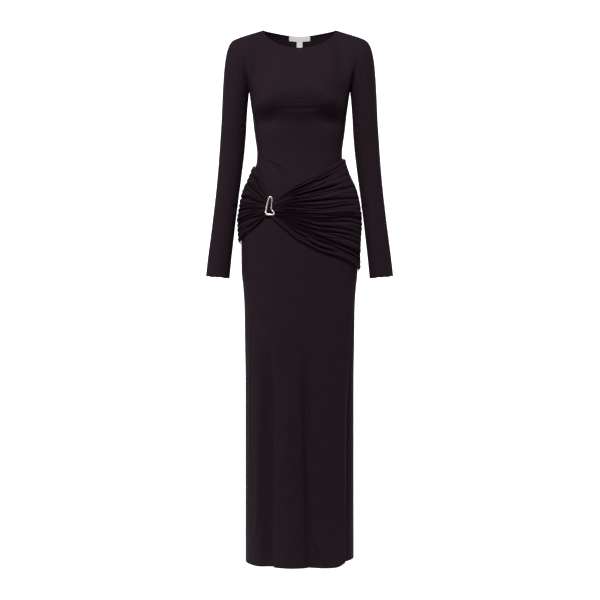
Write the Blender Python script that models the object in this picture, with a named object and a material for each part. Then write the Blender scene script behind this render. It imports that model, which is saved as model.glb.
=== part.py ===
"""Long-sleeved jersey maxi dress, with a hip overlay gathered into a metal ring.

The script's tables are in millimetres and the model is in metres. +Z is up, the front
faces -Y, and the wearer's left side is +X. The origin lies midway between the two points
where the shoulder seams meet the neck.

Each cloth panel is a grid of points on its outer face, worked out from the sections and
seams below, with the wall's thickness taken off inwards. The front and the back are each
cut across at the hip, into a bodice and a skirt. Both side seams and both shoulder
seams lie in the plane y = 0, so the front stays on one side of it and the back on the
other. Each armhole lies in a plane of its own, with the bodice on its inner side and the
sleeve on its outer side.
"""

import math

import bmesh
import bpy
import numpy as np

MM = 0.001

# Cloth, in millimetres
WALL = 1.3
SEAM_GAP = 0.3
LAYER_GAP = 0.4

# Main heights and widths, in millimetres
HEM_Z = -1430.0
WAIST_Z = -335.0
HIP_SEAM_Z = -475.0
UNDERARM_X, UNDERARM_Z = 136.0, -170.0
SHOULDER_TIP_X, SHOULDER_TIP_Z = 166.0, -22.0
ARMHOLE_HALF_DEPTH = 50.0
NECK_HALF_WIDTH = 97.0

# Body sections. A section is a rounded oval, from its half width and two depths.
OVAL_POWER = 2.3
BODY_COLUMNS = ("z", "half_width", "front", "back")
BODY = (
    (-150.0, 138.5, 93.0, 93.0),
    (-170.0, 136.0, 94.0, 95.0),
    (-210.0, 130.0, 93.0, 95.0),
    (-243.0, 126.0, 89.0, 87.0),
    (-275.0, 122.5, 86.0, 79.0),
    (-308.0, 117.5, 84.0, 75.0),
    (-335.0, 114.8, 83.0, 74.0),
    (-356.0, 116.0, 84.0, 77.0),
    (-400.0, 130.0, 89.0, 88.0),
    (-437.0, 147.0, 93.0, 99.0),
    (-486.0, 157.5, 98.0, 108.0),
    (-518.0, 161.5, 99.0, 112.0),
    (-567.0, 158.0, 100.0, 115.0),
    (-650.0, 156.6, 100.0, 113.0),
    (-700.0, 152.0, 101.0, 112.0),
    (-750.0, 149.0, 102.0, 111.0),
    (-850.0, 147.5, 104.0, 110.0),
    (-950.0, 146.0, 107.0, 109.0),
    (-1150.0, 146.0, 112.0, 108.0),
    (-1430.0, 146.0, 120.0, 108.0),
)

# Fullness that the bust darts give the front
BUST_X, BUST_Z = 72.0, -190.0
BUST_HEIGHT = 30.0
BUST_TOP_Z, BUST_FOOT_Z = -80.0, -262.0
BUST_SIDE_X = 133.0
BUST_DIP = 0.17

# Neckline
FRONT_NECK_Y, FRONT_NECK_Z, FRONT_NECK_CURVE = 55.0, -59.0, 1.2
BACK_NECK_Y, BACK_NECK_Z, BACK_NECK_CURVE = 50.0, -8.0, 5.0
NECK_SHARE = 2.0 / 3.0

# How the columns of the upper bodice leave the chest and arrive at the top edge
UPPER_COLUMNS = ("share", "rise", "front_back", "front_up", "back_back", "back_up")
UPPER = (
    (0.00, 42.0, 18.0, 31.0, 20.0, 40.0),
    (0.40, 46.0, 26.0, 26.0, 28.0, 26.0),
    (0.67, 50.0, 42.0, 9.0, 42.0, 8.0),
    (0.83, 57.0, 54.0, 4.0, 54.0, 4.0),
    (1.00, 66.7, 66.7, 0.0, 66.7, 0.0),
)
UPPER_STEPS = 8
UNDERARM_SAG = 40.0

# Rows of the panels below the underarm
FRONT_STEPS, BACK_STEPS = 24, 18
BODICE_ROWS = (-190.0, -212.0, -234.0, -256.0, -278.0, -300.0, -318.0)
OVERLAY_ROWS_FOOT_Z = -655.0
OVERLAY_ROW_COUNT = 17
SKIRT_ROWS = (
    -670.0, -690.0, -715.0, -745.0, -783.0, -830.0,
    -890.0, -970.0, -1060.0, -1160.0, -1260.0, -1350.0,
)
BACK_ROWS = (
    -205.0, -240.0, -275.0, -305.0, -335.0, -365.0, -400.0, -435.0, -475.0, -515.0,
    -565.0, -620.0, -670.0, -690.0, -715.0, -745.0, -783.0, -830.0,
    -890.0, -970.0, -1060.0, -1200.0, -1330.0,
)

# Side slit, on the wearer's left. The front's edge is a share of its half width, and the
# front stands off the back, which wraps forward under it by an angle in degrees.
SLIT_TOP_Z = -670.0
SLIT_COLUMNS = ("z", "front_edge", "stand_off", "wrap")
SLIT = (
    (-670.0, 1.000, 0.0, 0.0),
    (-690.0, 0.930, 3.0, 3.0),
    (-715.0, 0.860, 5.0, 10.0),
    (-745.0, 0.800, 6.5, 20.0),
    (-783.0, 0.756, 7.5, 27.0),
    (-862.0, 0.705, 8.5, 35.0),
    (-950.0, 0.650, 9.0, 42.0),
    (-1047.0, 0.605, 9.5, 47.0),
    (-1430.0, 0.590, 10.0, 49.0),
)

# Soft folds of the skirt, with columns top_x, top_z, foot_x, width and depth. A positive
# depth stands out, and a negative one lies in.
FRONT_FOLDS = (
    (-112.0, -760.0, -112.0, 15.0, 4.0),
    (-76.0, -800.0, -77.0, 17.0, -6.0),
    (-30.0, -860.0, -24.0, 22.0, 3.5),
    (20.0, -820.0, 37.0, 15.0, -6.5),
    (72.0, -840.0, 78.0, 22.0, 4.0),
)
BACK_FOLDS = (
    (-104.0, -700.0, -108.0, 20.0, -5.0),
    (-52.0, -640.0, -58.0, 24.0, 5.0),
    (6.0, -660.0, 4.0, 22.0, -6.0),
    (60.0, -640.0, 64.0, 24.0, 5.0),
    (108.0, -720.0, 110.0, 18.0, -4.0),
)
FOLD_RAMP = 220.0

# Sleeve sections: the point on its outer side, the point on its inner side, half its depth
# from front to back, and how far back its middle lies
SLEEVE_COLUMNS = ("outer_x", "outer_z", "inner_x", "inner_z", "half_depth", "middle_y")
SLEEVE = (
    (166.0, -22.0, 136.0, -170.0, 50.0, 0.0),
    (183.0, -32.0, 137.4, -181.0, 49.5, 0.0),
    (194.0, -52.0, 138.8, -194.0, 48.5, 0.5),
    (201.0, -84.0, 140.2, -211.0, 47.5, 1.5),
    (205.5, -128.0, 142.2, -238.0, 46.0, 3.5),
    (208.5, -180.0, 144.0, -272.0, 43.5, 5.5),
    (211.5, -245.0, 147.0, -311.0, 40.0, 7.5),
    (215.5, -306.0, 151.0, -350.0, 37.0, 8.0),
    (219.5, -365.0, 157.0, -397.0, 35.5, 7.5),
    (225.5, -432.0, 164.5, -456.0, 34.5, 5.0),
    (232.0, -492.0, 171.5, -512.0, 33.5, 1.0),
    (239.5, -556.0, 178.0, -570.0, 33.0, -4.0),
    (247.0, -616.0, 184.0, -626.0, 32.0, -9.0),
    (252.0, -664.0, 188.0, -670.0, 32.0, -13.0),
)
SLEEVE_STEPS = 18

# Hip overlay, one band from seam to seam through the ring. A place along it, and its edges,
# are shares of the front's half width, from -1 at the right side seam to 1 at the left one.
OVERLAY_COLUMNS = ("place", "upper_share", "upper_z", "lower_share", "lower_z")
OVERLAY = (
    (-1.000, -1.000, -366.0, -1.000, -580.0),
    (-0.720, -0.700, -383.0, -0.735, -557.0),
    (-0.555, -0.553, -400.0, -0.547, -542.0),
    (-0.430, -0.425, -424.0, -0.424, -527.0),
    (-0.360, -0.360, -444.0, -0.352, -513.0),
    (-0.304, -0.313, -460.0, -0.295, -506.0),
    (-0.250, -0.257, -466.0, -0.244, -516.0),
    (-0.110, -0.098, -440.0, -0.126, -542.0),
    (0.030, 0.043, -413.5, 0.021, -577.0),
    (0.200, 0.221, -393.0, 0.181, -600.0),
    (0.470, 0.497, -371.0, 0.440, -617.0),
    (0.740, 0.763, -354.0, 0.713, -636.0),
    (1.000, 1.000, -347.0, 1.000, -652.0),
)
OVERLAY_STATIONS = 28
OVERLAY_STEPS = 63
OVERLAY_GAP = 0.9
OVERLAY_WALL = 1.1
INNER_STEP = 3
OVERLAY_FOLDS = 14
SEAM_GATHERS = 21
RELIEF_COLUMNS = ("place", "fold", "gather")
RELIEF = (
    (-1.00, 0.0, 4.2),
    (-0.85, 1.4, 1.4),
    (-0.60, 3.0, 0.0),
    (-0.38, 2.4, 0.0),
    (-0.23, 2.4, 0.0),
    (0.05, 3.4, 0.0),
    (0.60, 2.6, 0.3),
    (0.84, 1.4, 1.5),
    (1.00, 0.0, 4.4),
)

# Ring: the middle line of its wire, seen from the front, with columns x and z
RING = (
    (-77.5, -455.5),
    (-82.5, -463.0),
    (-86.2, -475.0),
    (-88.6, -489.0),
    (-89.2, -500.5),
    (-83.0, -505.0),
    (-72.0, -506.0),
    (-67.4, -502.5),
    (-70.5, -496.0),
    (-74.0, -486.0),
    (-74.4, -472.0),
    (-73.4, -459.5),
)
RING_WIRE_RADIUS = 2.5
RING_STAND_OFF = 7.4
RING_STATIONS, RING_SIDES = 30, 8

# Labels inside the back neck
LABEL_WALL = 0.6
LABEL_ROWS = 3
LABEL_HALF_WIDTH, LABEL_HEIGHT = 29.0, 14.0
SIZE_TAB_HALF_WIDTH, SIZE_TAB_HEIGHT = 7.8, 15.5

JERSEY_NODES = (
    "front_bodice", "back_bodice", "front_skirt", "back_skirt",
    "sleeve_left", "sleeve_right", "overlay",
)
JERSEY_COLOUR = (0.021, 0.014, 0.019, 1.0)
JERSEY_ROUGHNESS = 0.75
METAL_COLOUR = (0.83, 0.76, 0.74, 1.0)
LABEL_COLOUR = (0.78, 0.78, 0.77, 1.0)


def column(rows, names, name):
    """One named column of a table."""
    return np.array([row[names.index(name)] for row in rows], float)


def read(rows, names, name, at, key="z"):
    """A table's column at the given keys, on a smooth curve that never overshoots its rows."""
    keys, values = column(rows, names, key), column(rows, names, name)
    if keys[0] > keys[-1]:
        keys, values = keys[::-1], values[::-1]
    step = np.diff(keys)
    slope = np.diff(values) / step
    tangent = np.zeros(len(keys))
    product = slope[:-1] * slope[1:]
    total = np.where(product > 0.0, slope[:-1] + slope[1:], 1.0)
    tangent[1:-1] = np.where(product > 0.0, 2.0 * product / total, 0.0)
    tangent[0], tangent[-1] = slope[0], slope[-1]
    at = np.clip(np.asarray(at, float), keys[0], keys[-1])
    place = np.clip(np.searchsorted(keys, at, side="right") - 1, 0, len(keys) - 2)
    part = (at - keys[place]) / step[place]
    return (
        values[place] * (1.0 + 2.0 * part) * (1.0 - part) ** 2
        + values[place + 1] * part**2 * (3.0 - 2.0 * part)
        + tangent[place] * step[place] * part * (1.0 - part) ** 2
        - tangent[place + 1] * step[place] * part**2 * (1.0 - part)
    )


def ease(share):
    """A smooth step from 0 to 1."""
    share = np.clip(share, 0.0, 1.0)
    return share * share * (3.0 - 2.0 * share)


def oval(angle, half_width, depth):
    """Across and outward distances of a point on a rounded oval, 0 being its middle."""
    across = np.sign(np.sin(angle)) * np.abs(np.sin(angle)) ** (2.0 / OVAL_POWER)
    outward = np.sign(np.cos(angle)) * np.abs(np.cos(angle)) ** (2.0 / OVAL_POWER)
    return half_width * across, depth * outward


def share_at(x, z):
    """The share of a panel's half width, from -1 to 1, at a distance across it."""
    ratio = np.clip(np.abs(x) / read(BODY, BODY_COLUMNS, "half_width", z), 0.0, 1.0)
    return np.sign(x) * np.arcsin(ratio ** (OVAL_POWER / 2.0)) / (math.pi / 2.0)


def bust(x, z):
    """How far the bust stands out of the plain section."""
    above = ease((BUST_TOP_Z - z) / (BUST_TOP_Z - BUST_Z))
    below = ease((z - BUST_FOOT_Z) / (BUST_Z - BUST_FOOT_Z))
    across = np.abs(x)
    between = 1.0 - BUST_DIP * (1.0 - np.clip(across / BUST_X, 0.0, 1.0) ** 2) ** 2
    beyond = ease((BUST_SIDE_X - across) / (BUST_SIDE_X - BUST_X))
    return BUST_HEIGHT * np.where(z > BUST_Z, above, below) * between * beyond


def folds(rows, share, x, z):
    """How far the skirt's soft folds stand out, fading out towards the side seams."""
    out = np.zeros_like(x)
    for top_x, top_z, foot_x, width, depth in rows:
        down = np.clip((top_z - z) / (top_z - HEM_Z), 0.0, 1.0)
        middle = top_x + (foot_x - top_x) * down
        strength = ease((top_z - z) / FOLD_RAMP)
        out += depth * strength * np.exp(-(((x - middle) / width) ** 2))
    return out * (1.0 - np.abs(share) ** 8)


def front_section(place, z):
    """Outer points of the front, below the underarm. Its left edge follows the slit."""
    edge = read(SLIT, SLIT_COLUMNS, "front_edge", z)
    share = np.where(place > 0.0, place * edge, place)
    half_width = read(BODY, BODY_COLUMNS, "half_width", z)
    x, out = oval(share * math.pi / 2.0, half_width, read(BODY, BODY_COLUMNS, "front", z))
    lap = read(SLIT, SLIT_COLUMNS, "stand_off", z) * ease((place - 0.2) / 0.7)
    y = -SEAM_GAP / 2.0 - out - bust(x, z) - folds(FRONT_FOLDS, share, x, z) - lap
    return np.stack([x, y, z], axis=-1)


def back_section(place, z):
    """Outer points of the back, below the underarm. Beside the slit it wraps forward."""
    wrap = np.radians(read(SLIT, SLIT_COLUMNS, "wrap", z))
    angle = np.where(place > 0.0, place * (math.pi / 2.0 + wrap), place * math.pi / 2.0)
    behind = read(BODY, BODY_COLUMNS, "back", z)
    ahead = read(BODY, BODY_COLUMNS, "front", z)
    depth = np.where(np.cos(angle) > 0.0, behind, ahead)
    x, out = oval(angle, read(BODY, BODY_COLUMNS, "half_width", z), depth)
    share = np.clip(angle / (math.pi / 2.0), -1.0, 1.0)
    y = SEAM_GAP / 2.0 + out + folds(BACK_FOLDS, share, x, z)
    return np.stack([x, y, z], axis=-1)


def plain_section(place, z, side):
    """The section under the upper bodice, without bust or folds. side is -1 in front."""
    name = "front" if side < 0 else "back"
    depth = read(BODY, BODY_COLUMNS, name, z)
    x, out = oval(place * math.pi / 2.0, read(BODY, BODY_COLUMNS, "half_width", z), depth)
    return np.stack([x, side * (SEAM_GAP / 2.0 + out), z], axis=-1)


def top_edge(place, side):
    """The neckline, and then the shoulder seam out to its tip."""
    neck_y = FRONT_NECK_Y if side < 0 else BACK_NECK_Y
    neck_z = FRONT_NECK_Z if side < 0 else BACK_NECK_Z
    neck_curve = FRONT_NECK_CURVE if side < 0 else BACK_NECK_CURVE
    turn = np.clip(place / NECK_SHARE, -1.0, 1.0) * math.pi / 2.0
    along = np.clip((np.abs(place) - NECK_SHARE) / (1.0 - NECK_SHARE), 0.0, 1.0)
    round_neck = np.abs(np.cos(turn))
    x = NECK_HALF_WIDTH * np.sin(turn) + np.sign(place) * along * (
        SHOULDER_TIP_X - NECK_HALF_WIDTH
    )
    y = side * (SEAM_GAP / 2.0 + neck_y * round_neck)
    z = neck_z * round_neck**neck_curve + along * SHOULDER_TIP_Z
    return np.stack([x, y, z], axis=-1)


def armhole(turn, side, shift):
    """A point of the armhole, turned from the underarm (0) to the shoulder tip (pi).

    It is an ellipse in a plane that leans inwards at its foot. A positive shift moves it
    towards the sleeve, square to that plane.
    """
    rise_x = (SHOULDER_TIP_X - UNDERARM_X) / 2.0
    rise_z = (SHOULDER_TIP_Z - UNDERARM_Z) / 2.0
    length = math.hypot(rise_x, rise_z)
    x = UNDERARM_X + rise_x * (1.0 - np.cos(turn)) + shift * rise_z / length
    z = UNDERARM_Z + rise_z * (1.0 - np.cos(turn)) - shift * rise_x / length
    y = side * (SEAM_GAP / 2.0 + (ARMHOLE_HALF_DEPTH - SEAM_GAP / 2.0) * np.sin(turn))
    return np.stack([x, y, z], axis=-1)


def upper_bodice(place, rise, side):
    """Outer points from the underarm row (rise 0) to the top edge (rise 1), on curves."""
    size = np.abs(place)
    foot_z = UNDERARM_Z - UNDERARM_SAG * (1.0 - place**2)
    start = plain_section(place, foot_z, side)
    end = top_edge(place, side)
    upward = plain_section(place, foot_z + 1.0, side) - plain_section(place, foot_z - 1.0, side)
    upward /= np.linalg.norm(upward, axis=-1, keepdims=True)
    outward = np.zeros_like(upward)
    outward[..., 1] = side
    turn = ease((size - 0.55) / 0.45)[..., None]
    leave = upward * (1.0 - turn) + outward * turn
    leave /= np.linalg.norm(leave, axis=-1, keepdims=True)
    leave *= read(UPPER, UPPER_COLUMNS, "rise", size, "share")[..., None]
    name = "front" if side < 0 else "back"
    arrive = np.zeros_like(leave)
    arrive[..., 1] = -side * read(UPPER, UPPER_COLUMNS, name + "_back", size, "share")
    arrive[..., 2] = read(UPPER, UPPER_COLUMNS, name + "_up", size, "share")
    rest = (1.0 - rise)[..., None]
    rise = rise[..., None]
    curve = (
        start * rest**3
        + 3.0 * (start + leave) * rest**2 * rise
        + 3.0 * (end - arrive) * rest * rise**2
        + end * rise**3
    )
    if side < 0:
        curve[..., 1] -= bust(curve[..., 0], curve[..., 2])
    return curve


def panel(side, steps, rows):
    """Outer points of the front or back, a row of them for each height, top first."""
    place = np.linspace(-1.0, 1.0, steps + 1)
    rise = np.linspace(1.0, 0.0, UPPER_STEPS + 1)
    across, up = np.meshgrid(place, rise)
    upper = upper_bodice(across, up, side)
    for edge, sign in ((0, -1.0), (-1, 1.0)):
        upper[:, edge] = armhole(rise * math.pi, side, -SEAM_GAP / 2.0) * (sign, 1.0, 1.0)
    across, z = np.meshgrid(place, np.array(rows))
    sag = UNDERARM_SAG * np.clip((z - WAIST_Z) / (UNDERARM_Z - WAIST_Z), 0.0, 1.0)
    z = z - sag * (1.0 - across**2)
    section = front_section if side < 0 else back_section
    return np.concatenate([upper, section(across, z)])


def grid_normals(points, turned=False):
    """Unit normals of a grid of points. turned says that its columns close on themselves."""
    if turned:
        across = np.roll(points, -1, axis=1) - np.roll(points, 1, axis=1)
    else:
        across = np.gradient(points, axis=1)
    normal = np.cross(across, np.gradient(points, axis=0))
    return normal / np.linalg.norm(normal, axis=-1, keepdims=True)


def make_object(name, points, faces, material):
    """A closed body from points in millimetres and faces, with its faces turned outwards."""
    mesh = bpy.data.meshes.new(name)
    mesh.from_pydata((np.asarray(points) * MM).tolist(), [], [list(f) for f in faces])
    body = bmesh.new()
    body.from_mesh(mesh)
    bmesh.ops.recalc_face_normals(body, faces=body.faces)
    body.to_mesh(mesh)
    body.free()
    mesh.materials.append(material)
    mesh.shade_smooth()
    mesh.set_sharp_from_angle(angle=math.radians(50.0))
    made = bpy.data.objects.new(name, mesh)
    bpy.context.collection.objects.link(made)
    return made


def wall(name, outer, inner, material, turned=False, inner_step=1):
    """A closed wall between two grids of points, with its rims filled.

    The inner grid has as many rows as the outer one, and one column for every inner_step
    columns of it.
    """
    top = np.arange(outer[..., 0].size).reshape(outer.shape[:2])
    under = np.arange(inner[..., 0].size).reshape(inner.shape[:2]) + top.size
    points = np.concatenate([outer.reshape(-1, 3), inner.reshape(-1, 3)])
    if turned:
        top = np.concatenate([top, top[:, :1]], axis=1)
        under = np.concatenate([under, under[:, :1]], axis=1)
    faces = []
    for index, turn in ((top, 1), (under, -1)):
        quads = np.stack([index[:-1, :-1], index[:-1, 1:], index[1:, 1:], index[1:, :-1]], axis=-1)
        faces.extend(quads.reshape(-1, 4)[:, ::turn].tolist())
    for row in (0, -1):
        for each in range(under.shape[1] - 1):
            above = top[row, each * inner_step : (each + 1) * inner_step + 1].tolist()
            faces.append([*above, int(under[row, each + 1]), int(under[row, each])])
    if not turned:
        for place in (0, -1):
            above, below = top[:, place], under[:, place]
            quads = np.stack([above[:-1], above[1:], below[1:], below[:-1]], axis=-1)
            faces.extend(quads.tolist())
    return make_object(name, points, faces, material)


def make_panel(side_name, outer, inner, bodice_material, skirt_material):
    """A panel's bodice and skirt, which meet at the hip seam with a gap between them."""
    seam = int(np.argmin(np.abs(outer[:, 0, 2] - HIP_SEAM_Z)))
    wall(side_name + "_bodice", outer[: seam + 1], inner[: seam + 1], bodice_material)
    top, under = outer[seam:].copy(), inner[seam:].copy()
    for grid in (top, under):
        grid[0, :, 2] -= SEAM_GAP
    wall(side_name + "_skirt", top, under, skirt_material)


def make_front(bodice_material, skirt_material):
    """The front's bodice and skirt. The outer points of both are given back as one grid."""
    overlay_rows = np.linspace(WAIST_Z, OVERLAY_ROWS_FOOT_Z, OVERLAY_ROW_COUNT)
    outer = panel(-1, FRONT_STEPS, [*BODICE_ROWS, *overlay_rows, *SKIRT_ROWS, HEM_Z])
    normals = grid_normals(outer)
    if normals[len(outer) // 2, FRONT_STEPS // 2, 1] > 0.0:
        normals = -normals
    inner = outer - normals * WALL
    inner[..., 1] = np.minimum(inner[..., 1], -SEAM_GAP / 2.0)
    make_panel("front", outer, inner, bodice_material, skirt_material)
    return outer, normals


def make_back(bodice_material, skirt_material):
    """The back's bodice and skirt. The outer points of both are given back as one grid."""
    outer = panel(1, BACK_STEPS, [*BACK_ROWS, HEM_Z])
    normals = grid_normals(outer)
    if normals[len(outer) // 2, BACK_STEPS // 2, 1] < 0.0:
        normals = -normals
    inner = outer - normals * WALL
    above_slit = outer[..., 2] >= SLIT_TOP_Z
    level = np.maximum(inner[..., 1], SEAM_GAP / 2.0)
    inner[..., 1] = np.where(above_slit, level, inner[..., 1])
    make_panel("back", outer, inner, bodice_material, skirt_material)
    return outer, normals


def make_sleeve(name, sign, material):
    """A sleeve, as rings from the armhole to the cuff. sign is 1 on the wearer's left."""
    sections = np.array(SLEEVE)
    keys = np.linspace(0.0, 1.0, len(sections))
    rows = [(key, *section) for key, section in zip(keys, sections)]
    names = ("key", *SLEEVE_COLUMNS)
    at = np.linspace(0.0, 1.0, SLEEVE_STEPS + 1)
    size = {each: read(rows, names, each, at, "key") for each in SLEEVE_COLUMNS}
    turn = np.linspace(0.0, 2.0 * math.pi, 2 * UPPER_STEPS, endpoint=False)
    swing = np.cos(turn)[None, :]
    middle_x = (size["outer_x"] + size["inner_x"])[:, None] / 2.0
    middle_z = (size["outer_z"] + size["inner_z"])[:, None] / 2.0
    half_x = (size["outer_x"] - size["inner_x"])[:, None] / 2.0
    half_z = (size["outer_z"] - size["inner_z"])[:, None] / 2.0
    y = size["middle_y"][:, None] + size["half_depth"][:, None] * np.sin(turn)[None, :]
    outer = np.stack([middle_x + half_x * swing, y, middle_z + half_z * swing], axis=-1)
    normals = grid_normals(outer, turned=True)
    spoke = outer[0] - outer[0].mean(axis=0)
    if (normals[0] * spoke).sum() < 0.0:
        normals = -normals
    seam = np.array([half_z[0, 0], 0.0, -half_x[0, 0]])
    seam /= np.linalg.norm(seam)
    outer[0] += seam * SEAM_GAP / 2.0
    flat = normals[0] - (normals[0] @ seam)[:, None] * seam
    normals[0] = flat / np.linalg.norm(flat, axis=-1, keepdims=True)
    inner = outer - normals * WALL
    mirror = np.array([sign, 1.0, 1.0])
    wall(name, outer * mirror, inner * mirror, material, turned=True)


def on_panel(points, normals, row, place, stand_off):
    """A point on a panel's faces, moved out, at a row and a column that needn't be whole.

    Between the panel's points it is read in straight lines, as the panel's faces run, so
    that what lies on a panel keeps its gap to it. A negative stand_off lies inside.
    """
    rows, columns = points.shape[:2]
    upper = np.clip(row.astype(int), 0, rows - 2)
    left = np.clip(place.astype(int), 0, columns - 2)
    down, across = (row - upper)[..., None], (place - left)[..., None]
    found = []
    for grid in (points, normals):
        first = grid[upper, left] * (1.0 - across) + grid[upper, left + 1] * across
        second = grid[upper + 1, left] * (1.0 - across) + grid[upper + 1, left + 1] * across
        found.append(first * (1.0 - down) + second * down)
    point, normal = found
    normal /= np.linalg.norm(normal, axis=-1, keepdims=True)
    return point + normal * np.asarray(stand_off)[..., None]


def on_front(front, share, z, stand_off):
    """A point on the front where the overlay lies, by its share of the width and height."""
    points, normals = front
    first = UPPER_STEPS + 1 + len(BODICE_ROWS)
    down = (WAIST_Z - z) / (WAIST_Z - OVERLAY_ROWS_FOOT_Z)
    row = first + np.clip(down, 0.0, 1.0) * (OVERLAY_ROW_COUNT - 1)
    place = (share + 1.0) / 2.0 * FRONT_STEPS
    return on_panel(points, normals, row, place, stand_off)


def make_overlay(front, material):
    """The hip overlay, one band from seam to seam, with its folds fanned from the ring."""
    place = np.linspace(-1.0, 1.0, OVERLAY_STATIONS + 1)[:, None]
    down = np.linspace(0.0, 1.0, OVERLAY_STEPS + 1)[None, :]
    edge = {
        each: read(OVERLAY, OVERLAY_COLUMNS, each, place, "place") for each in OVERLAY_COLUMNS[1:]
    }
    share = edge["upper_share"] * (1.0 - down) + edge["lower_share"] * down
    z = edge["upper_z"] * (1.0 - down) + edge["lower_z"] * down
    fold = read(RELIEF, RELIEF_COLUMNS, "fold", place, "place")
    gather = read(RELIEF, RELIEF_COLUMNS, "gather", place, "place")
    relief = fold * np.abs(np.sin(math.pi * OVERLAY_FOLDS * down))
    relief = relief + gather * np.abs(np.sin(math.pi * SEAM_GATHERS * down))
    inner = on_front(front, share, z, OVERLAY_GAP)
    outer = on_front(front, share, z, OVERLAY_GAP + OVERLAY_WALL + relief)
    for grid in (inner, outer):
        grid[..., 1] = np.minimum(grid[..., 1], -SEAM_GAP / 2.0)
    wall("overlay", outer, inner[:, ::INNER_STEP], material, inner_step=INNER_STEP)


def closed_curve(points, count):
    """Evenly read points on a smooth closed curve through the given ones."""
    points = np.asarray(points, float)
    before, after = np.roll(points, 1, axis=0), np.roll(points, -1, axis=0)
    beyond = np.roll(points, -2, axis=0)
    at = np.linspace(0.0, len(points), count, endpoint=False)
    index = at.astype(int)
    part = (at - index)[:, None]
    p0, p1, p2, p3 = before[index], points[index], after[index], beyond[index]
    return 0.5 * (
        2.0 * p1
        + (p2 - p0) * part
        + (2.0 * p0 - 5.0 * p1 + 4.0 * p2 - p3) * part**2
        + (3.0 * p1 - p0 - 3.0 * p2 + p3) * part**3
    )


def make_ring(front, material):
    """The ring, a round wire bent to a slim rounded triangle, lying on the overlay."""
    line = closed_curve(RING, RING_STATIONS)
    share = share_at(line[:, 0], line[:, 1])
    middle = on_front(front, share, line[:, 1], RING_STAND_OFF)
    outward = middle - on_front(front, share, line[:, 1], 0.0)
    outward /= np.linalg.norm(outward, axis=-1, keepdims=True)
    along = np.roll(middle, -1, axis=0) - np.roll(middle, 1, axis=0)
    across = np.cross(along, outward)
    across /= np.linalg.norm(across, axis=-1, keepdims=True)
    turn = np.linspace(0.0, 2.0 * math.pi, RING_SIDES, endpoint=False)[None, :, None]
    spokes = across[:, None, :] * np.cos(turn) + outward[:, None, :] * np.sin(turn)
    points = (middle[:, None, :] + RING_WIRE_RADIUS * spokes).reshape(-1, 3)
    index = np.arange(len(points)).reshape(RING_STATIONS, RING_SIDES)
    following, beside = np.roll(index, -1, axis=0), np.roll(index, -1, axis=1)
    corner = np.roll(following, -1, axis=1)
    faces = np.stack([index, following, corner, beside], axis=-1).reshape(-1, 4)
    make_object("ring", points, faces.tolist(), material)


def make_label(name, back, half_width, top_drop, height, steps, material):
    """A flat label inside the back neck, from a drop below the neckline, downwards."""
    points, normals = back
    turn = np.linspace(-1.0, 1.0, steps + 1) * math.asin(half_width / NECK_HALF_WIDTH)
    place = (turn / (math.pi / 2.0) * NECK_SHARE + 1.0) / 2.0 * BACK_STEPS
    fine = np.linspace(0.0, 3.0, 61)
    row, across = np.meshgrid(fine, place, indexing="ij")
    run = on_panel(points, normals, row, across, 0.0)
    step = np.linalg.norm(np.diff(run, axis=0), axis=-1)
    length = np.concatenate([np.zeros((1, steps + 1)), np.cumsum(step, axis=0)])
    drops = np.linspace(top_drop, top_drop + height, LABEL_ROWS + 1)
    row = np.stack([np.interp(drops, length[:, each], fine) for each in range(steps + 1)], axis=1)
    across = np.broadcast_to(place, row.shape)
    depth = WALL + LAYER_GAP
    outer = on_panel(points, normals, row, across, -depth)
    wall(name, outer, on_panel(points, normals, row, across, -depth - LABEL_WALL), material)


def make_material(name, colour, roughness, metallic):
    """A plain finish of one colour."""
    material = bpy.data.materials.new(name)
    material.use_nodes = True
    shader = material.node_tree.nodes["Principled BSDF"]
    shader.inputs["Base Color"].default_value = colour
    shader.inputs["Roughness"].default_value = roughness
    shader.inputs["Metallic"].default_value = metallic
    material.diffuse_color = colour
    return material


def clear_scene():
    for item in list(bpy.data.objects):
        bpy.data.objects.remove(item, do_unlink=True)


def build():
    clear_scene()
    jersey = {
        node: make_material(node + "_jersey", JERSEY_COLOUR, JERSEY_ROUGHNESS, 0.0)
        for node in JERSEY_NODES
    }
    front = make_front(jersey["front_bodice"], jersey["front_skirt"])
    back = make_back(jersey["back_bodice"], jersey["back_skirt"])
    for name, sign in (("sleeve_left", 1.0), ("sleeve_right", -1.0)):
        make_sleeve(name, sign, jersey[name])
    make_overlay(front, jersey["overlay"])
    make_ring(front, make_material("ring_metal", METAL_COLOUR, 0.2, 1.0))
    label_cloth = make_material("label_cloth", LABEL_COLOUR, 0.8, 0.0)
    tab_cloth = make_material("size_tab_cloth", LABEL_COLOUR, 0.8, 0.0)
    make_label("label", back, LABEL_HALF_WIDTH, 0.3, LABEL_HEIGHT, 8, label_cloth)
    tab_top = LABEL_HEIGHT + 2.0 * SEAM_GAP
    make_label("size_tab", back, SIZE_TAB_HALF_WIDTH, tab_top, SIZE_TAB_HEIGHT, 2, tab_cloth)


build()
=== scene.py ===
"""Looks of a long-sleeved jersey maxi dress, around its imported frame.

The tables repeat the dress's own sections, seams and folds, in millimetres, and the model is
in metres. +Z is up, the front faces -Y, and the wearer's left side is +X. Each cloth piece
is a grid of points on its outer face, worked out as whole arrays. Its creases, seams and
hems move the points along the face's normals, and the cloth's thickness is then taken off
inwards, with a rounded rim.
"""

import math

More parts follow.
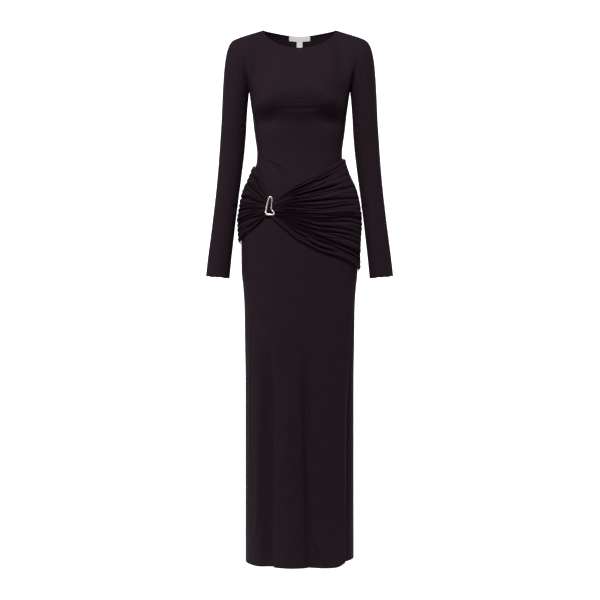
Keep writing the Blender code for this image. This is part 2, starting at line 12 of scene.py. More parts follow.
import bpy
import numpy as np
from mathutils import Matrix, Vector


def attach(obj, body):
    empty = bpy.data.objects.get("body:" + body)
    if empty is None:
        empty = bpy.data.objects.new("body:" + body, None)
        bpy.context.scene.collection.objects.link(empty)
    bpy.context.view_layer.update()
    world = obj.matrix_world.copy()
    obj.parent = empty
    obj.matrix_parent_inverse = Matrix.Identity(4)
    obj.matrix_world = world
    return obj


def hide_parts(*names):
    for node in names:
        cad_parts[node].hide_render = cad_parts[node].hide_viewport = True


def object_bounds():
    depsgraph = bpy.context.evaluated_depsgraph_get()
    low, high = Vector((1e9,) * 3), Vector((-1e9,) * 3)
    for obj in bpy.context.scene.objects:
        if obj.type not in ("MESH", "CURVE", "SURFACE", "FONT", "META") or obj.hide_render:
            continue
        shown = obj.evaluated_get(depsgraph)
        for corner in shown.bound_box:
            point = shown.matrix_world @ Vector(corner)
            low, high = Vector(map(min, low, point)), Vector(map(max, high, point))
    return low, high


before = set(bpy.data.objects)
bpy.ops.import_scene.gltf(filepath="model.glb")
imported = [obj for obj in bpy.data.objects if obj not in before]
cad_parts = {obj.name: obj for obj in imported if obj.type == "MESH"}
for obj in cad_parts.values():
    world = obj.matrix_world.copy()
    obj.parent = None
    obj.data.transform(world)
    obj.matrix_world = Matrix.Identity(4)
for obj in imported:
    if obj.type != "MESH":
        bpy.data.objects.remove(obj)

bl_info = {
    "name": "Long-sleeved maxi dress",
    "version": (1, 0, 0),
    "blender": (4, 5, 0),
    "location": "3D View > Sidebar > Dress",
    "description": "Builds a jersey maxi dress with a hip overlay drawn through a metal ring",
    "category": "Add Mesh",
}

FRAME_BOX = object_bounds()
MM = 0.001

# Main heights and widths, in millimetres
SEAM_GAP = 0.3
HEM_Z = -1430.0
WAIST_Z = -335.0
HIP_SEAM_Z = -475.0
UNDERARM_X, UNDERARM_Z = 136.0, -170.0
SHOULDER_TIP_X, SHOULDER_TIP_Z = 166.0, -22.0
ARMHOLE_HALF_DEPTH = 50.0
NECK_HALF_WIDTH = 97.0

# Body sections. A section is a rounded oval, from its half width and two depths.
OVAL_POWER = 2.3
BODY_COLUMNS = ("z", "half_width", "front", "back")
BODY = (
    (-150.0, 138.5, 93.0, 93.0),
    (-170.0, 136.0, 94.0, 95.0),
    (-210.0, 130.0, 93.0, 95.0),
    (-243.0, 126.0, 89.0, 87.0),
    (-275.0, 122.5, 86.0, 79.0),
    (-308.0, 117.5, 84.0, 75.0),
    (-335.0, 114.8, 83.0, 74.0),
    (-356.0, 116.0, 84.0, 77.0),
    (-400.0, 130.0, 89.0, 88.0),
    (-437.0, 147.0, 93.0, 99.0),
    (-486.0, 157.5, 98.0, 108.0),
    (-518.0, 161.5, 99.0, 112.0),
    (-567.0, 158.0, 100.0, 115.0),
    (-650.0, 156.6, 100.0, 113.0),
    (-700.0, 152.0, 101.0, 112.0),
    (-750.0, 149.0, 102.0, 111.0),
    (-850.0, 147.5, 104.0, 110.0),
    (-950.0, 146.0, 107.0, 109.0),
    (-1150.0, 146.0, 112.0, 108.0),
    (-1430.0, 146.0, 120.0, 108.0),
)

# Fullness of the front at the bust, as a smooth rise and fall
BUST_X, BUST_Z = 72.0, -190.0
BUST_HEIGHT = 30.0
BUST_TOP_Z, BUST_FOOT_Z = -80.0, -262.0
BUST_SIDE_X = 133.0
BUST_DIP = 0.17

# Neckline
FRONT_NECK_Y, FRONT_NECK_Z, FRONT_NECK_CURVE = 55.0, -59.0, 1.2
BACK_NECK_Y, BACK_NECK_Z, BACK_NECK_CURVE = 50.0, -8.0, 5.0
NECK_SHARE = 2.0 / 3.0

# How the columns of the upper bodice leave the chest and arrive at the top edge
UPPER_COLUMNS = ("share", "rise", "front_back", "front_up", "back_back", "back_up")
UPPER = (
    (0.00, 42.0, 18.0, 31.0, 20.0, 40.0),
    (0.40, 46.0, 26.0, 26.0, 28.0, 26.0),
    (0.67, 50.0, 42.0, 9.0, 42.0, 8.0),
    (0.83, 57.0, 54.0, 4.0, 54.0, 4.0),
    (1.00, 66.7, 66.7, 0.0, 66.7, 0.0),
)
UNDERARM_SAG = 40.0
OUTWARD_FROM = 0.55

# Side slit, on the wearer's left
SLIT_TOP_Z = -670.0
SLIT_COLUMNS = ("z", "front_edge", "stand_off", "wrap")
SLIT = (
    (-670.0, 1.000, 0.0, 0.0),
    (-690.0, 0.930, 3.0, 3.0),
    (-715.0, 0.860, 5.0, 10.0),
    (-745.0, 0.800, 6.5, 20.0),
    (-783.0, 0.756, 7.5, 27.0),
    (-862.0, 0.705, 8.5, 35.0),
    (-950.0, 0.650, 9.0, 42.0),
    (-1047.0, 0.605, 9.5, 47.0),
    (-1430.0, 0.590, 10.0, 49.0),
)
LAP_FROM, LAP_SPAN = 0.2, 0.7

# Soft folds of the skirt, with columns top_x, top_z, foot_x, width and depth
FRONT_FOLDS = (
    (-112.0, -760.0, -112.0, 15.0, 4.0),
    (-76.0, -800.0, -77.0, 17.0, -6.0),
    (-30.0, -860.0, -24.0, 22.0, 3.5),
    (20.0, -820.0, 37.0, 15.0, -6.5),
    (72.0, -840.0, 78.0, 22.0, 4.0),
)
BACK_FOLDS = (
    (-104.0, -700.0, -108.0, 20.0, -5.0),
    (-52.0, -640.0, -58.0, 24.0, 5.0),
    (6.0, -660.0, 4.0, 22.0, -6.0),
    (60.0, -640.0, 64.0, 24.0, 5.0),
    (108.0, -720.0, 110.0, 18.0, -4.0),
)
FOLD_RAMP = 220.0
FOLD_SIDE_POWER = 8

# Sleeve sections: the outer side's point, the inner side's point, half the depth from front
# to back, and how far back the middle lies
SLEEVE_COLUMNS = ("outer_x", "outer_z", "inner_x", "inner_z", "half_depth", "middle_y")
SLEEVE = (
    (166.0, -22.0, 136.0, -170.0, 50.0, 0.0),
    (183.0, -32.0, 137.4, -181.0, 49.5, 0.0),
    (194.0, -52.0, 138.8, -194.0, 48.5, 0.5),
    (201.0, -84.0, 140.2, -211.0, 47.5, 1.5),
    (205.5, -128.0, 142.2, -238.0, 46.0, 3.5),
    (208.5, -180.0, 144.0, -272.0, 43.5, 5.5),
    (211.5, -245.0, 147.0, -311.0, 40.0, 7.5),
    (215.5, -306.0, 151.0, -350.0, 37.0, 8.0),
    (219.5, -365.0, 157.0, -397.0, 35.5, 7.5),
    (225.5, -432.0, 164.5, -456.0, 34.5, 5.0),
    (232.0, -492.0, 171.5, -512.0, 33.5, 1.0),
    (239.5, -556.0, 178.0, -570.0, 33.0, -4.0),
    (247.0, -616.0, 184.0, -626.0, 32.0, -9.0),
    (252.0, -664.0, 188.0, -670.0, 32.0, -13.0),
)
SLEEVE_LENGTH, SLEEVE_RADIUS = 650.0, 38.0

# Hip overlay, one band from seam to seam through the ring. A place along it, and its edges,
# are shares of the front's half width, from -1 at the right side seam to 1 at the left one.
OVERLAY_COLUMNS = ("place", "upper_share", "upper_z", "lower_share", "lower_z")
OVERLAY = (
    (-1.000, -1.000, -366.0, -1.000, -580.0),
    (-0.720, -0.700, -383.0, -0.735, -557.0),
    (-0.555, -0.553, -400.0, -0.547, -542.0),
    (-0.430, -0.425, -424.0, -0.424, -527.0),
    (-0.360, -0.360, -444.0, -0.352, -513.0),
    (-0.304, -0.313, -460.0, -0.295, -506.0),
    (-0.250, -0.257, -466.0, -0.244, -516.0),
    (-0.110, -0.098, -440.0, -0.126, -542.0),
    (0.030, 0.043, -413.5, 0.021, -577.0),
    (0.200, 0.221, -393.0, 0.181, -600.0),
    (0.470, 0.497, -371.0, 0.440, -617.0),
    (0.740, 0.763, -354.0, 0.713, -636.0),
    (1.000, 1.000, -347.0, 1.000, -652.0),
)
RING_PLACE = -0.304
OVERLAY_GAP = 0.9
OVERLAY_WALL = 1.1

# Creases of the overlay between its ring and a side seam, with columns start, end, near,
# middle, far, width and depth. Each starts and ends at a place, and lies at three shares of
# the way down the band: near the ring, halfway and at the seam. The keys are those places.
LEFT_KEYS = (-0.10, 0.20, 0.60)
LEFT_CREASES = (
    (-0.30, 0.80, 0.120, 0.070, 0.050, 2.4, 3.4),
    (-0.30, 0.50, 0.165, 0.110, 0.090, 2.6, 3.6),
    (0.15, 0.80, 0.200, 0.160, 0.105, 2.0, 2.0),
    (0.30, 0.95, 0.200, 0.190, 0.155, 2.0, 2.0),
    (-0.12, 0.55, 0.235, 0.222, 0.205, 3.2, 4.2),
    (0.00, 0.95, 0.285, 0.265, 0.270, 2.8, 3.4),
    (-0.30, 0.12, 0.290, 0.300, 0.300, 2.0, 3.0),
    (0.40, 0.98, 0.330, 0.330, 0.325, 2.2, 1.8),
    (-0.30, 0.92, 0.350, 0.366, 0.374, 3.2, 4.8),
    (-0.28, 0.22, 0.405, 0.420, 0.420, 2.0, 2.6),
    (-0.30, 0.80, 0.450, 0.468, 0.440, 3.4, 4.4),
    (0.55, 0.98, 0.480, 0.480, 0.480, 2.2, 1.8),
    (-0.30, 0.12, 0.510, 0.515, 0.515, 1.8, 2.4),
    (-0.20, 0.85, 0.545, 0.535, 0.522, 2.4, 3.0),
    (-0.30, 0.99, 0.605, 0.597, 0.560, 4.6, 5.8),
    (0.05, 0.99, 0.650, 0.637, 0.610, 2.2, 3.0),
    (-0.30, 0.90, 0.665, 0.694, 0.695, 3.2, 4.4),
    (0.50, 0.98, 0.660, 0.655, 0.650, 2.0, 2.0),
    (0.12, 0.90, 0.715, 0.728, 0.748, 2.6, 3.2),
    (-0.02, 0.97, 0.715, 0.762, 0.790, 2.8, 3.6),
    (-0.30, 0.99, 0.745, 0.832, 0.877, 4.8, 5.8),
    (-0.30, 0.97, 0.810, 0.880, 0.924, 3.0, 4.4),
    (-0.30, 0.55, 0.875, 0.955, 0.968, 2.8, 4.0),
    (0.45, 0.97, 0.960, 0.960, 0.958, 2.0, 2.4),
)
RIGHT_KEYS = (-0.70, -0.50, -0.38)
RIGHT_CREASES = (
    (-0.30, -0.75, 0.070, 0.050, 0.045, 2.4, 3.0),
    (-0.30, -0.85, 0.160, 0.130, 0.110, 3.0, 5.0),
    (-0.30, -0.90, 0.230, 0.205, 0.175, 2.4, 3.0),
    (-0.30, -0.95, 0.310, 0.285, 0.245, 3.2, 5.4),
    (-0.30, -0.98, 0.390, 0.375, 0.315, 2.4, 3.0),
    (-0.30, -0.95, 0.465, 0.460, 0.425, 3.4, 5.6),
    (-0.30, -0.98, 0.540, 0.540, 0.510, 2.4, 3.0),
    (-0.30, -0.95, 0.590, 0.585, 0.560, 2.0, 2.4),
    (-0.30, -0.98, 0.640, 0.632, 0.605, 3.0, 5.2),
    (-0.30, -0.96, 0.720, 0.690, 0.670, 2.4, 3.2),
    (-0.30, -0.95, 0.770, 0.742, 0.735, 2.4, 3.0),
    (-0.30, -0.98, 0.840, 0.805, 0.785, 3.6, 5.6),
    (-0.30, -0.72, 0.920, 0.920, 0.930, 3.0, 4.0),
    (-0.60, -0.97, 0.900, 0.900, 0.880, 2.6, 2.6),
)

# Relief of the overlay, in millimetres. Main folds are the creases above, and fine ones lie
# between them. A reach along the band is in its places.
FOLD_HEIGHT = 8.6
BUNCHED_HEIGHT = 135.0
RING_DIP, RING_DIP_REACH = 0.45, 0.055
FOLD_EDGE = 5.0
MAIN_DEPTH, MAIN_REACH, MAIN_POWER = 5.0, 0.15, 3
FINE_FOLDS, FINE_WIDTH, FINE_DEPTH = 40, 1.5, 2.6
LEFT_GATHERS, RIGHT_GATHERS = 21, 16
GATHER_HEIGHT = 3.8
GATHER_REACH = 0.08
SEAM_TUCK = 0.03
WING_BLEND = 0.03
CREASE_FADE_IN, CREASE_FADE_OUT, STARTS_AT_RING = 0.10, 0.22, 0.01
FOLD_SHARPNESS, CREST_SOFTNESS = 0.02, 0.6
LEAST_BUNCHED, BUNCHED_WIDTH_POWER, BUNCHED_DEPTH_POWER = 0.3, 0.75, 0.6
GOLDEN_SHARE = 0.618
FINE_WANDER, FINE_WANDER_TURNS, FINE_WANDER_STEP = 0.012, 5.0, 2.4
FINE_REACH, FINE_REACH_SPREAD, FINE_FADE, FINE_RING_CALM = 0.30, 0.85, 0.2, 0.85
GATHER_ROUNDNESS = 0.8
HOLLOW_FROM, HOLLOW_SPAN = 0.3, 0.6

# Ring: the middle line of its wire, seen from the front, with columns x, z and the share of
# the wire's radius
RING = (
    (-74.6, -459.4, 0.95),
    (-78.2, -462.6, 0.95),
    (-80.3, -471.0, 1.00),
    (-82.6, -480.5, 1.05),
    (-83.9, -490.0, 1.10),
    (-85.0, -498.5, 1.15),
    (-82.0, -504.0, 1.10),
    (-74.0, -505.3, 0.95),
    (-65.6, -504.3, 0.95),
    (-66.6, -499.6, 0.90),
    (-69.2, -495.2, 0.90),
    (-72.2, -489.5, 0.74),
    (-71.9, -480.5, 0.66),
    (-71.1, -471.0, 0.66),
    (-70.6, -463.0, 0.78),
)
RING_MIDDLE_X = -77.0
RING_STAND_OFF, RING_TILT = 8.5, 1.5
RING_TILT_REACH, RING_CALM_PASSES, RING_FLATNESS = 7.0, 3, 0.9
# Painted shade: the overlay's colour is darkened near the ring, over this reach along the band.
RING_SHADE, RING_SHADE_REACH = 0.26, 0.16

# Small creases, with columns for both ends, the bow between them, half width and depth.
# The front's, the back's and the hem's are across and up, in millimetres. Soft bells, on
# the bust and the skirt, have columns for their place, half width, half height and depth.
FRONT_CREASES = (
    (-46.0, -206.0, 34.0, -204.0, 1.0, 2.6, -0.9),
    (-60.0, -226.0, 62.0, -223.0, -2.0, 4.4, -1.5),
    (-99.0, -352.0, -34.0, -392.0, 2.0, 2.2, -4.0),
    (-76.0, -375.0, -26.0, -406.0, 2.0, 2.2, -3.6),
    (-102.0, -364.0, -80.0, -399.0, 2.0, 2.8, -2.8),
    (-60.0, -380.0, -22.0, -399.0, 1.0, 2.6, -1.8),
    (-135.0, -660.0, -134.0, -1190.0, 0.0, 2.6, 1.5),
    (-108.0, -1040.0, -114.0, -1330.0, 0.0, 7.0, 1.8),
    (-128.0, -148.0, -112.0, -160.0, 1.5, 3.0, -1.0),
    (128.0, -148.0, 112.0, -160.0, -1.5, 3.0, -1.0),
    (-126.0, -160.0, -104.0, -178.0, 1.5, 3.5, -0.9),
    (126.0, -160.0, 104.0, -178.0, -1.5, 3.5, -0.9),
)
BUST_BELLS = (
    (-93.0, -207.0, 25.0, 19.0, 7.0),
    (89.0, -207.0, 23.0, 19.0, 7.0),
    (-90.0, -252.0, 31.0, 20.0, -11.0),
    (84.0, -251.0, 29.0, 20.0, -10.2),
    (0.0, -196.0, 46.0, 24.0, -2.6),
    (0.0, -244.0, 42.0, 15.0, 2.4),
)
SKIRT_BELLS = (
    (4.0, -716.0, 11.0, 34.0, 1.2),
    (77.0, -1375.0, 8.0, 5.0, 2.4),
)
BACK_CREASES = (
    (-92.0, -318.0, -20.0, -338.0, -3.0, 5.0, -1.6),
    (88.0, -322.0, 24.0, -344.0, 3.0, 5.0, -1.5),
    (-96.0, -346.0, -34.0, -368.0, -4.0, 5.0, -1.4),
    (98.0, -350.0, 30.0, -372.0, 4.0, 5.0, -1.4),
    (-122.0, -176.0, -88.0, -206.0, 2.0, 4.0, -1.2),
    (122.0, -176.0, 88.0, -206.0, -2.0, 4.0, -1.2),
)

# Pleats of the skirt, with columns top_x, top_z, foot_x, slope, step and depth: each falls
# slowly over its slope from the left, and comes back up within its step
PLEATS = (
    (-75.0, -800.0, -73.5, 25.0, 3.6, 11.0),
    (16.0, -790.0, 30.0, 17.0, 3.6, 8.5),
)

# A sleeve's creases are in degrees round it, 0 being outermost and -90 in front, and in
# millimetres along it
SLEEVE_CREASES = (
    (-130.0, 13.0, -102.0, 30.0, 2.0, 2.6, -1.3),
    (-136.0, 21.0, -110.0, 38.0, 2.0, 2.6, -1.2),
    (-142.0, 32.0, -118.0, 47.0, 2.0, 2.6, -1.0),
    (-84.0, 136.0, -160.0, 172.0, 9.0, 4.0, -2.8),
    (-96.0, 318.0, -150.0, 286.0, 3.0, 3.5, -1.6),
    (-126.0, 348.0, -174.0, 300.0, 2.0, 3.5, -2.2),
    (-122.0, 130.0, -158.0, 102.0, 1.0, 3.5, -1.8),
    (60.0, 240.0, 150.0, 300.0, -8.0, 5.0, -1.6),
    (70.0, 300.0, 140.0, 330.0, -5.0, 5.0, -1.2),
    (40.0, 60.0, 120.0, 90.0, 5.0, 5.0, -1.2),
)

# Curls at the front's hem
HEM_CREASES = (
    (-110.0, -1290.0, -119.0, -1352.0, -1.0, 4.0, 1.2),
    (-102.0, -1330.0, -122.0, -1386.0, -3.0, 5.0, -2.4),
    (-120.0, -1380.0, -94.0, -1396.0, -6.0, 3.0, -1.2),
    (-116.0, -1391.0, -90.0, -1407.0, -6.0, 3.0, -1.2),
    (-110.0, -1402.0, -84.0, -1417.0, -6.0, 3.0, -1.0),
    (30.0, -1350.0, 66.0, -1424.0, -3.0, 4.6, -4.4),
    (48.0, -1370.0, 74.0, -1400.0, 2.0, 6.0, 2.4),
)

# Sewing, in millimetres. Each rim reaches a little past its seam's line, so that sewn
# pieces meet and no light shows between them.
RIM_REACH = 0.6
SEAM_DIP, SEAM_REACH = 0.9, 2.6
HEM_DEPTH, CUFF_HEM_DEPTH = 20.0, 12.5
NECK_EDGE_DEPTH, SLIT_HEM_DEPTH = 6.0, 14.0
SLIT_HEM_RISE, SLIT_HEM_REACH, SLIT_HEM_FADE = 10.0, 34.0, 260.0
SLIT_SIDE_FROM, SLIT_SIDE_SPAN = 0.4, 0.35
SLIT_CORNER_RISE = 18.0
CUFF_WAVE, CUFF_WAVES = 1.3, 5.0
STITCH_DIP, STITCH_REACH = 0.35, 1.1
CREASE_END_POWER = 0.7
ARMPIT_DIP, ARMPIT_REACH, ARMPIT_LINE = 6.5, 8.5, 1.6
ARMPIT_TOP_Z, ARMPIT_DIP_FOOT_Z, ARMPIT_RAMP = -108.0, -238.0, 40.0
EDGE_LIFT, EDGE_REACH, EDGE_RAMP = 3.4, 4.0, 120.0

# Painted shade: how much the jersey's colour is darkened in folds and hollows. The rolled edge at
# the slit gets a painted highlight, its colour lightened.
FOLD_SHADE = 0.62
ARMPIT_SHADE, ARMPIT_FOOT_Z, ARMPIT_SHADE_RAMP = 0.9, -236.0, 30.0
EDGE_LIGHT, EDGE_LINE, EDGE_LINE_REACH = 3.2, 2.6, 2.2
SLIT_SHADE, SLIT_SHADE_REACH, SLIT_SHADE_RAMP = 0.5, 16.0, 50.0

# Stitches, in millimetres
STITCH_PITCH, STITCH_LENGTH, STITCH_RADIUS = 3.2, 2.3, 0.2
STITCH_SIDES = 6
STITCH_ENDS, STITCH_TAPER = (-0.5, -0.4, 0.4, 0.5), (0.4, 1.0, 1.0, 0.4)
SLIT_STITCH_DROP = 20.0

# Grids. The rows at the hem and the cuff are distances up from it, and the first rows of a
# sleeve are shares of its length.
ARMHOLE_TURNS = (1.0, 0.993, 0.984, *np.linspace(0.97, 0.0, 46))
BODICE_STEP = 0.6
SEAM_COLUMNS = (0.006, 0.013)
HEM_ROWS = (28.0, 24.0, 21.5, 20.0, 18.5, 16.0, 12.0, 8.0, 4.0, 1.5, 0.0)
HEM_ROWS_FROM = 30.0
JOIN_SHARE = 0.1
CALM_RISE, CALM_EDGE, CALM_PASSES = 0.35, 0.12, 60
JOINT_ROWS = 9.0
FRONT_COLUMNS, BACK_COLUMNS = 160, 110
PANEL_EDGES = ((0, -1.0), (-1, 1.0))
SLEEVE_ROWS, SLEEVE_SIDES = 180, 72
SLEEVE_TOP_ROWS = (0.0, 0.002, 0.005)
SLEEVE_EVEN_ROWS = (0.01, 0.97)
CUFF_ROWS = (16.0, 13.5, 12.5, 11.5, 9.0, 6.0, 3.0, 1.2, 0.0)
OVERLAY_ROWS, OVERLAY_STATIONS = 300, 158
RIM_STEPS = 4
RING_STATIONS, RING_SIDES = 160, 24

# Small steps for finite differences, as a share of the half width and in millimetres
SHARE_STEP, HEIGHT_STEP, LINE_STEP = 1e-3, 1.0, 0.5

# Constants of the finishes. Wales and courses are in metres.
PLAIN_KNIT = {"Wale": 0.0009, "Course": 0.0007}
LOOP_WAVE = 0.25
MOTTLE = {"Scale": 38.0, "Detail": 4.0, "Roughness": 0.6}
MOTTLE_SHARE, ROUGHNESS_SPREAD = 0.18, 0.10
WEAR = {"Scale": 220.0, "Detail": 3.0}
WEAR_SPREAD = 0.08
COURSE_SHARE = 0.8
KNIT_BUMP, KNIT_HEIGHT = 0.35, 0.00015
JERSEY_SHEEN = {
    "IOR": 1.04,
    "Specular IOR Level": 0.5,
    "Specular Tint": (1.0, 0.72, 0.92, 1.0),
    "Sheen Weight": 0.03,
    "Sheen Roughness": 0.35,
    "Sheen Tint": (0.75, 0.50, 0.70, 1.0),
}

# Stage, in metres and watts. A light has its place, the point it faces, its size and power.
LIGHTS = (
    ("key_light", (-0.6, -3.4, 2.7), (0.0, 0.0, -0.5), 1.5, 232.0),
    ("fill_light", (-2.3, -2.7, -0.2), (0.0, 0.0, -0.6), 1.0, 11.0),
    ("left_edge_light", (3.0, 0.3, 0.0), (0.0, 0.0, -0.5), 1.2, 20.0),
    ("right_edge_light", (-3.0, 0.3, -0.4), (0.0, 0.0, -0.7), 1.2, 27.0),
    ("backdrop_light", (0.0, 2.6, 2.4), (0.0, 4.8, -0.9), 3.0, 60.0),
)
WHITE = (1.0, 1.0, 1.0, 1.0)
ROOM_LIGHT = 0.15
PAPER_COLOUR, PAPER_ROUGHNESS, PAPER_GLOW = (0.9, 0.9, 0.9), 0.8, 0.7
SWEEP_REACH, SWEEP_HEIGHT, SWEEP_BEND, SWEEP_FRONT_Y = 4.5, 4.6, 1.4, -0.3
SWEEP_STEPS = 25
CAMERA_X, SENSOR_WIDTH = 0.0011, 36.0
TAPE_COLOUR, TAPE_ROUGHNESS = (0.92, 0.91, 0.91), 0.75


def column(rows, names, name):
    """One named column of a table."""
    return np.array([row[names.index(name)] for row in rows], float)


def read(rows, names, name, at, key="z"):
    """A table's column at the given keys, on a smooth curve that never overshoots its rows."""
    return smooth(column(rows, names, key), column(rows, names, name), at)


def smooth(keys, values, at):
    """A cubic through the values, whose slopes are the harmonic means of those beside them."""
    keys, values = np.asarray(keys, float), np.asarray(values, float)
    if keys[0] > keys[-1]:
        keys, values = keys[::-1], values[::-1]
    step = np.diff(keys)
    slope = np.diff(values) / step
    tangent = np.zeros(len(keys))
    product = slope[:-1] * slope[1:]
    total = np.where(product > 0.0, slope[:-1] + slope[1:], 1.0)
    tangent[1:-1] = np.where(product > 0.0, 2.0 * product / total, 0.0)
    tangent[0], tangent[-1] = slope[0], slope[-1]
    at = np.clip(np.asarray(at, float), keys[0], keys[-1])
    place = np.clip(np.searchsorted(keys, at, side="right") - 1, 0, len(keys) - 2)
    part = (at - keys[place]) / step[place]
    return (
        values[place] * (1.0 + 2.0 * part) * (1.0 - part) ** 2
        + values[place + 1] * part**2 * (3.0 - 2.0 * part)
        + tangent[place] * step[place] * part * (1.0 - part) ** 2
        - tangent[place + 1] * step[place] * part**2 * (1.0 - part)
    )


def ease(share):
    """A smooth step from 0 to 1."""
    share = np.clip(share, 0.0, 1.0)
    return share * share * (3.0 - 2.0 * share)


def bell(distance, reach):
    """A bell: exp of minus the square of the distance over its reach."""
    return np.exp(-((distance / reach) ** 2))


def oval(angle, half_width, depth):
    """Across and outward distances of a point on a rounded oval, 0 being its middle.

    Each is the half width or depth times the angle's sine or cosine to a power under 1.
    """
    across = np.sign(np.sin(angle)) * np.abs(np.sin(angle)) ** (2.0 / OVAL_POWER)
    outward = np.sign(np.cos(angle)) * np.abs(np.cos(angle)) ** (2.0 / OVAL_POWER)
    return half_width * across, depth * outward


def share_at(x, z):
    """The share of a panel's half width, from -1 to 1, at a distance across it."""
    ratio = np.clip(np.abs(x) / read(BODY, BODY_COLUMNS, "half_width", z), 0.0, 1.0)
    return np.sign(x) * np.arcsin(ratio ** (OVAL_POWER / 2.0)) / (math.pi / 2.0)


def bust(x, z):
    """How far the bust stands out of the plain section."""
    above = ease((BUST_TOP_Z - z) / (BUST_TOP_Z - BUST_Z))
    below = ease((z - BUST_FOOT_Z) / (BUST_Z - BUST_FOOT_Z))
    across = np.abs(x)
    between = 1.0 - BUST_DIP * (1.0 - np.clip(across / BUST_X, 0.0, 1.0) ** 2) ** 2
    beyond = ease((BUST_SIDE_X - across) / (BUST_SIDE_X - BUST_X))
    return BUST_HEIGHT * np.where(z > BUST_Z, above, below) * between * beyond


def folds(rows, share, x, z):
    """How far the skirt's soft folds stand out, as bells that fade towards the side seams."""
    out = np.zeros_like(x)
    for top_x, top_z, foot_x, width, depth in rows:
        down = np.clip((top_z - z) / (top_z - HEM_Z), 0.0, 1.0)
        middle = top_x + (foot_x - top_x) * down
        strength = ease((top_z - z) / FOLD_RAMP)
        out += depth * strength * bell(x - middle, width)
    return out * (1.0 - np.abs(share) ** FOLD_SIDE_POWER)


def front_section(place, z):
    """Outer points of the front, below the underarm. Its left edge follows the slit."""
    edge = read(SLIT, SLIT_COLUMNS, "front_edge", z)
    share = np.where(place > 0.0, place * edge, place)
    half_width = read(BODY, BODY_COLUMNS, "half_width", z)
    x, out = oval(share * math.pi / 2.0, half_width, read(BODY, BODY_COLUMNS, "front", z))
    lap = read(SLIT, SLIT_COLUMNS, "stand_off", z) * ease((place - LAP_FROM) / LAP_SPAN)
    y = -SEAM_GAP / 2.0 - out - bust(x, z) - folds(FRONT_FOLDS, share, x, z) - lap
    return np.stack([x, y, z], axis=-1)


def back_section(place, z):
    """Outer points of the back, below the underarm. Beside the slit it wraps forward."""
    wrap = np.radians(read(SLIT, SLIT_COLUMNS, "wrap", z))
    angle = np.where(place > 0.0, place * (math.pi / 2.0 + wrap), place * math.pi / 2.0)
    behind = read(BODY, BODY_COLUMNS, "back", z)
    ahead = read(BODY, BODY_COLUMNS, "front", z)
    depth = np.where(np.cos(angle) > 0.0, behind, ahead)
    x, out = oval(angle, read(BODY, BODY_COLUMNS, "half_width", z), depth)
    share = np.clip(angle / (math.pi / 2.0), -1.0, 1.0)
    y = SEAM_GAP / 2.0 + out + folds(BACK_FOLDS, share, x, z)
    return np.stack([x, y, z], axis=-1)


def plain_section(place, z, side):
    """The section under the upper bodice, without bust or folds. side is -1 in front."""
    name = "front" if side < 0 else "back"
    depth = read(BODY, BODY_COLUMNS, name, z)
    x, out = oval(place * math.pi / 2.0, read(BODY, BODY_COLUMNS, "half_width", z), depth)
    return np.stack([x, side * (SEAM_GAP / 2.0 + out), z], axis=-1)


def top_edge(place, side):
    """The neckline, a quarter turn to each side, and then the straight shoulder seam."""
    neck_y = FRONT_NECK_Y if side < 0 else BACK_NECK_Y
    neck_z = FRONT_NECK_Z if side < 0 else BACK_NECK_Z
    neck_curve = FRONT_NECK_CURVE if side < 0 else BACK_NECK_CURVE
    turn = np.clip(place / NECK_SHARE, -1.0, 1.0) * math.pi / 2.0
    along = np.clip((np.abs(place) - NECK_SHARE) / (1.0 - NECK_SHARE), 0.0, 1.0)
    round_neck = np.abs(np.cos(turn))
    x = NECK_HALF_WIDTH * np.sin(turn) + np.sign(place) * along * (
        SHOULDER_TIP_X - NECK_HALF_WIDTH
    )
    y = side * (SEAM_GAP / 2.0 + neck_y * round_neck)
    z = neck_z * round_neck**neck_curve + along * SHOULDER_TIP_Z
    return np.stack([x, y, z], axis=-1)


def armhole(turn, side, shift):
    """A point of the armhole's ellipse, turned from the underarm (0) to the shoulder (pi)."""
    rise_x = (SHOULDER_TIP_X - UNDERARM_X) / 2.0
    rise_z = (SHOULDER_TIP_Z - UNDERARM_Z) / 2.0
    length = math.hypot(rise_x, rise_z)
    x = UNDERARM_X + rise_x * (1.0 - np.cos(turn)) + shift * rise_z / length
    z = UNDERARM_Z + rise_z * (1.0 - np.cos(turn)) - shift * rise_x / length
    y = side * (SEAM_GAP / 2.0 + (ARMHOLE_HALF_DEPTH - SEAM_GAP / 2.0) * np.sin(turn))
    return np.stack([x, y, z], axis=-1)


def armhole_groove(points, sign=1.0):
    """Points of the armhole's ellipse drawn in towards its middle by the seam's depth."""
    middle_x = sign * (SHOULDER_TIP_X + UNDERARM_X) / 2.0
    middle_z = (SHOULDER_TIP_Z + UNDERARM_Z) / 2.0
    length = math.hypot(SHOULDER_TIP_X - UNDERARM_X, SHOULDER_TIP_Z - UNDERARM_Z) / 2.0
    along, deep = 1.0 - SEAM_DIP / length, 1.0 - SEAM_DIP / ARMHOLE_HALF_DEPTH
    middle = np.array([middle_x, 0.0, middle_z])
    return middle + (points - middle) * np.array([along, deep, along])


def calm(points, strength, passes):
    """Smooths a grid along its rows, by a strength from 0 to 1 at each point."""
    strength = strength[:, 1:-1, None]
    for _ in range(passes):
        mean = (points[:, :-2] + 2.0 * points[:, 1:-1] + points[:, 2:]) / 4.0
        points[:, 1:-1] += strength * (mean - points[:, 1:-1])


